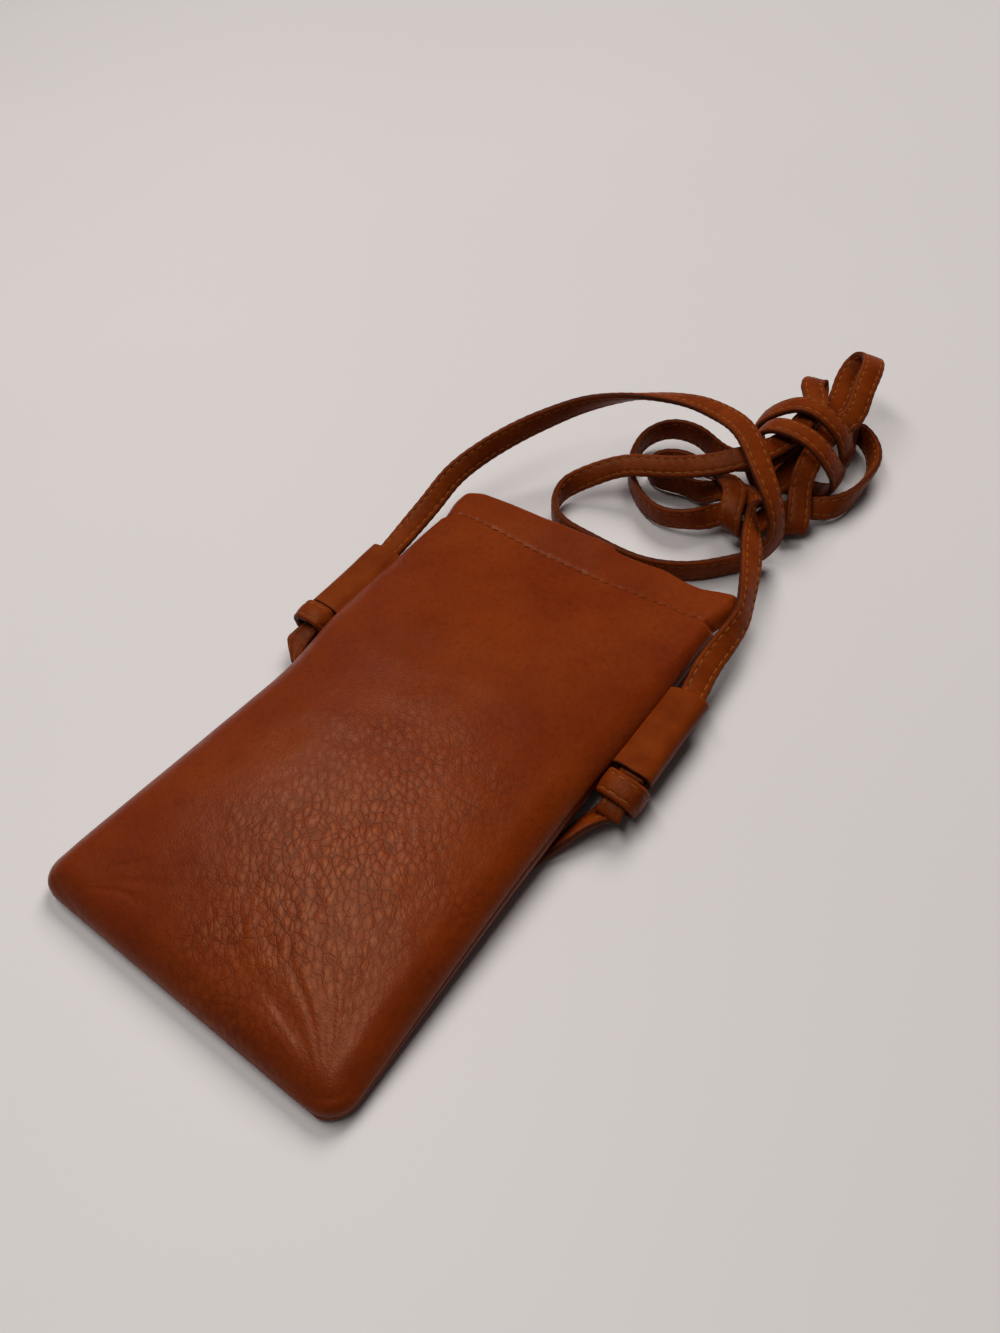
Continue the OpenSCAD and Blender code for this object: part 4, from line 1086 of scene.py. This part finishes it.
def hem_stitches(name, grid, side, node):
    """One row of stitches along the groove of a hem."""
    row = int(np.argmin(np.abs(grid[: BODY_ROWS + HEM_ROWS, COLUMNS // 2, 1]
                               - lip_shift(np.zeros(1), np.array([HEM_STITCH_Y]))[0][0] - HEM_STITCH_Y)))
    line = grid[row]
    count = int((2 * HALF_W - HEM_ENDS) / STITCH_PITCH)
    stitches = []
    for k in range(count):
        x0 = (k - count // 2) * STITCH_PITCH + HEM_HOLE_X + (STITCH_PITCH - STITCH_L) / 2
        ends = [np.array([np.interp(x, line[:, 0], line[:, i]) for i in range(3)])
                for x in (x0, x0 + STITCH_L)]
        out = np.array([0, 0, side * 1.0])
        slant = np.array([0, STITCH_SLANT, 0])
        stitches.append((ends[0] - slant + STITCH_PROUD * out, ends[1] + slant + STITCH_PROUD * out, out))
    obj = stitch_piece(name, stitches, HEM_THREAD, thread_d=HEM_THREAD_D)
    follow_lip(obj)
    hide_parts(node)
    print(name, count, "stitches")


hem_stitches("front_hem_sewing", front_grid, 1, "front_hem_stitches")
hem_stitches("back_hem_sewing", back_grid, -1, "back_hem_stitches")

# %% [markdown]
# Inside, the lining is a smaller bag of twill that hangs from the hems, clear of the seam
# allowance. Its two sides are cut sheets, each a little smaller than its panel, with the same
# tables of heights and widths. At the top each is caught between the two plies of the hem. The
# turned edges of the leather are one band that runs round three sides inside the seam.

# %% Lining and seam allowance
LINING_IN, LINING_DOWN, LINING_T = 8.4, 1.9, 0.5
LINING_TOP_Y, LINING_TOP_OUT = HEM_Y + 0.5, 2.05
ALLOWANCE_OUT, ALLOWANCE_IN, ALLOWANCE_T = 1.9, 7.9, 2.0
SEAM_PITCH, SEAM_START, SEAM_END = 5.0, 4.0, 8.0


def lining_grid(side, columns=61, rows=81):
    """Face of the lining that lies against the leather, row by row."""
    across = np.sin(np.linspace(-1, 1, columns) * math.pi / 2)
    low = BOTTOM_Y + LINING_IN
    y = mix(low, LINING_TOP_Y, 1 - np.cos(np.linspace(0, 1, rows) * math.pi / 2))[:, None]
    half, lean, seam_z = outline_half(y, LINING_IN), along(y, LEAN), along(y, SEAM_HEIGHTS)
    x = lean + across[None, :] * half
    y = np.broadcast_to(y, x.shape).copy()
    from_side, from_bottom = half - np.abs(x - lean), y - low
    top = along(y, TOP_HEIGHTS) if side > 0 else seam_z + mix(seam_z, MOUTH_HALF, to_mouth(y))
    rise = (top - seam_z - LINING_DOWN) * swell(from_side, from_bottom, mix(11, 2, to_mouth(y)), 14) - 0.2
    if side > 0:
        leather = (top - seam_z) * swell(from_side + LINING_IN, from_bottom + LINING_IN,
                                         mix(FRONT_ROLL, MOUTH_ROLL, to_mouth(y)), BOTTOM_ROLL)
        rise = np.minimum(rise, leather - LINING_DOWN)
    rise = np.maximum(0.15, rise + 0.12 * low_noise(x, y, 9, 21.0 + side))

    # Its top edge goes up between the two plies of the hem, and waves with them
    rise = mix(rise, LINING_TOP_OUT, smooth((y - HEM_Y + 6) / 6))
    shift_y, shift_z = lip_shift(x, y)
    return np.stack([x, y + shift_y, seam_z + side * rise + shift_z], 2)


def lining_piece(name, side, node):
    grid = lining_grid(side)
    obj = mesh_piece(name, grid.reshape(-1, 3), grid_faces(*grid.shape[:2], flip=side < 0), [TWILL])
    give_thickness(obj, LINING_T)
    follow_lip(obj)
    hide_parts(node)


lining_piece("front_twill", 1, "front_lining")
lining_piece("back_twill", -1, "back_lining")


def seam_line(inset):
    """The line of the seam, moved in, from the left end of the hem round the bottom to the right."""
    radius = max(1.5, CORNER_R - inset)
    low = BOTTOM_Y + inset
    side_y = np.linspace(HEM_Y - 1, low + radius, 70)
    turn = np.linspace(0, math.pi / 2, 12)[1:]
    left = [(along(y, LEAN) - along(y, HALF_WIDTHS) + inset, y) for y in side_y]
    left += [(left[-1][0] + radius * (1 - math.cos(a)), low + radius * (1 - math.sin(a))) for a in turn]
    right = [(along(y, LEAN) + along(y, HALF_WIDTHS) - inset, y) for y in side_y]
    right += [(right[-1][0] - radius * (1 - math.cos(a)), low + radius * (1 - math.sin(a))) for a in turn]
    bottom = [(x, low) for x in np.linspace(left[-1][0], right[-1][0], 40)[1:-1]]
    line = np.array(left + bottom + right[::-1])
    return np.column_stack([line, along(line[:, 1], SEAM_HEIGHTS)])


def allowance_grid(columns=4):
    """The turned edges of the panels: a band inside the side seams and the bottom seam."""
    outer, inner = seam_line(ALLOWANCE_OUT), seam_line(ALLOWANCE_IN)
    return np.stack([mix(outer, inner, t) for t in np.linspace(0, 1, columns)])


band = allowance_grid()
allowance = mesh_piece("turned_edges", band.reshape(-1, 3), grid_faces(*band.shape[:2]), [FLESH])
give_thickness(allowance, ALLOWANCE_T, offset=0)
follow_lip(allowance)
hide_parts("seam_allowance")

sewn_line = band.mean(axis=0)
sewn_at = arc_lengths(sewn_line)
up_z = np.array([0, 0, 1.0])
seam_stitches = [
    tuple(np.array([np.interp(s, sewn_at, sewn_line[:, i]) for i in range(3)])
          + np.array([0, 0, ALLOWANCE_T / 2 + 0.15]) for s in (start, start + STITCH_L)) + (up_z,)
    for start in np.arange(SEAM_START, sewn_at[-1] - SEAM_END, SEAM_PITCH)
]
seam_sewing = stitch_piece("seam_sewing", seam_stitches, HEM_THREAD)
follow_lip(seam_sewing)
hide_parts("seam_thread")
print("seam:", len(seam_stitches), "stitches in", round(float(sewn_at[-1])), "mm")

# %% [markdown]
# The spring strips are thin steel with their ends rolled into knuckles round a pin, as on a
# small hinge. On the pouch the strip bends with its lip; here it is a flat sheet. The knuckles
# don't bend: they move in and up with the pin, so they are pieces of their own that ride with it.

# %% Spring strips, knuckles and pins
STRIP_W, STRIP_T, STRIP_Z, STRIP_Y, STRIP_HALF_L = 10.0, 0.4, 1.9, 84.75, 45
PIN_R, PIN_GAP = 1.0, 0.1


def spring_strip(name, side, node):
    """The flat length of a strip."""
    x = np.linspace(-STRIP_HALF_L, STRIP_HALF_L, 91)
    y = np.linspace(-STRIP_W / 2, STRIP_W / 2, 7)
    grid = np.array([[(a, STRIP_Y + b, SEAM_Z + side * (STRIP_Z + STRIP_T / 2)) for a in x] for b in y])
    obj = mesh_piece(name, grid.reshape(-1, 3), grid_faces(*grid.shape[:2], flip=side < 0), [STEEL])
    give_thickness(obj, STRIP_T)
    follow_lip(obj)
    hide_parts(node)


def knuckle(name, side_x, ranges, side_z):
    """The rolled end of a strip: a flat tongue that curls round the pin, in one or two widths."""
    points, faces = [], []
    middle = PIN_R + PIN_GAP + STRIP_T / 2

    # The tongue comes down to the pin from the flat strip and curls most of the way round it
    curl = [(-4.6, 1.95), (-3.4, 1.8), (-2.0, 1.5)]
    curl += [(middle * math.sin(a), middle * math.cos(a)) for a in np.linspace(-0.35, 1.72 * math.pi, 30)]
    for low, high in ranges:
        base = len(points)
        for y in np.linspace(low, high, 4):
            points += [(side_x * (PIN_SPAN / 2 + a), STRIP_Y + y, SEAM_Z + side_z * b) for a, b in curl]
        flip = side_x * side_z > 0
        faces += [tuple(base + i for i in quad) for quad in grid_faces(4, len(curl), flip=flip)]
    obj = mesh_piece(name, points, faces, [STEEL])
    give_thickness(obj, STRIP_T, offset=0)
    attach(obj, "left_end" if side_x < 0 else "right_end")


spring_strip("front_spring", 1, "front_strip")
spring_strip("back_spring", -1, "back_strip")
third = STRIP_W / 6 - PIN_GAP
for side_x, word in ((-1, "left"), (1, "right")):
    knuckle(word + "_front_knuckle", side_x, [(-third, third)], 1)
    knuckle(word + "_back_knuckle", side_x, [(-STRIP_W / 2, -third - 0.2), (third + 0.2, STRIP_W / 2)], -1)
    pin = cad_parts[word + "_pin"]
    pin.data.materials.clear()
    pin.data.materials.append(STEEL)
print("pins", PIN_SPAN, "mm apart, strips", STRIP_W, "mm wide")

# %% [markdown]
# ## Table and light
# The picture was taken on a pale, slightly warm table in a bright room. A long lamp overhead puts
# the soft shine along the fullest part of the leather, a wide lamp far behind and to the left
# leaves the slopes towards the viewer in shade, and the world gives a low even fill. The wide
# lamp gives no reflections, because it would show as a pale patch on the smooth leather.

# %% Table
TABLE_HALF, TABLE_DOWN = 2.0, 0.02 * MM


def pale_table():
    """Matt laminate, slightly clouded."""
    material, tree = new_material("pale_laminate_table")
    place = add_node(tree, "ShaderNodeTexCoord").outputs["Object"]
    colour = mixed(tree, clouds(tree, place, 3.0, 2.0), "#C8C1BE", "#CEC7C4")
    return finish_material(material, tree, {"Base Color": colour, "Roughness": 0.55, "IOR": 1.45})


table_mesh = bpy.data.meshes.new("table")
corners = [(x * TABLE_HALF, y * TABLE_HALF, 0) for x, y in ((-1, -1), (1, -1), (1, 1), (-1, 1))]
table_mesh.from_pydata(corners, [], [(0, 1, 2, 3)])
table_mesh.materials.append(pale_table())
table = bpy.data.objects.new("table", table_mesh)
table.location.z = -TABLE_DOWN
bpy.context.scene.collection.objects.link(table)
print("table:", 2 * TABLE_HALF, "m square")

# %% Lamps and world
def soft_lamp(name, place, aim, sizes, turn, watts):
    """A lamp of two sizes, aimed at a point and turned about its own axis."""
    lamp = bpy.data.lights.new(name, "AREA")
    lamp.shape = "ELLIPSE"
    lamp.size, lamp.size_y = sizes
    lamp.energy = watts
    obj = bpy.data.objects.new(name, lamp)
    obj.location = place
    aimed = (Vector(aim) - Vector(place)).to_track_quat("-Z", "Y")
    obj.rotation_euler = (aimed @ Quaternion((0, 0, 1), turn)).to_euler()
    bpy.context.scene.collection.objects.link(obj)
    return obj


soft_lamp("lamp_overhead", place=(-0.33, -0.06, 1.17), aim=(0, 0, 0), sizes=(1.4, 0.37),
          turn=math.radians(42), watts=8.6)
lamp_behind = soft_lamp("lamp_behind", place=(-0.7, 2.9, 2.7), aim=(0, 0.03, 0), sizes=(2.0, 2.0),
                        turn=0, watts=134)
lamp_behind.visible_glossy = False
world = bpy.data.worlds.new("room")
world.use_nodes = True
room_light = world.node_tree.nodes["Background"]
room_light.inputs["Color"].default_value = (1.0, 0.985, 0.97, 1)
room_light.inputs["Strength"].default_value = 0.06
bpy.context.scene.world = world
bpy.context.scene.view_settings.view_transform = "Standard"

# %% Update the view layer
bpy.context.view_layer.update()
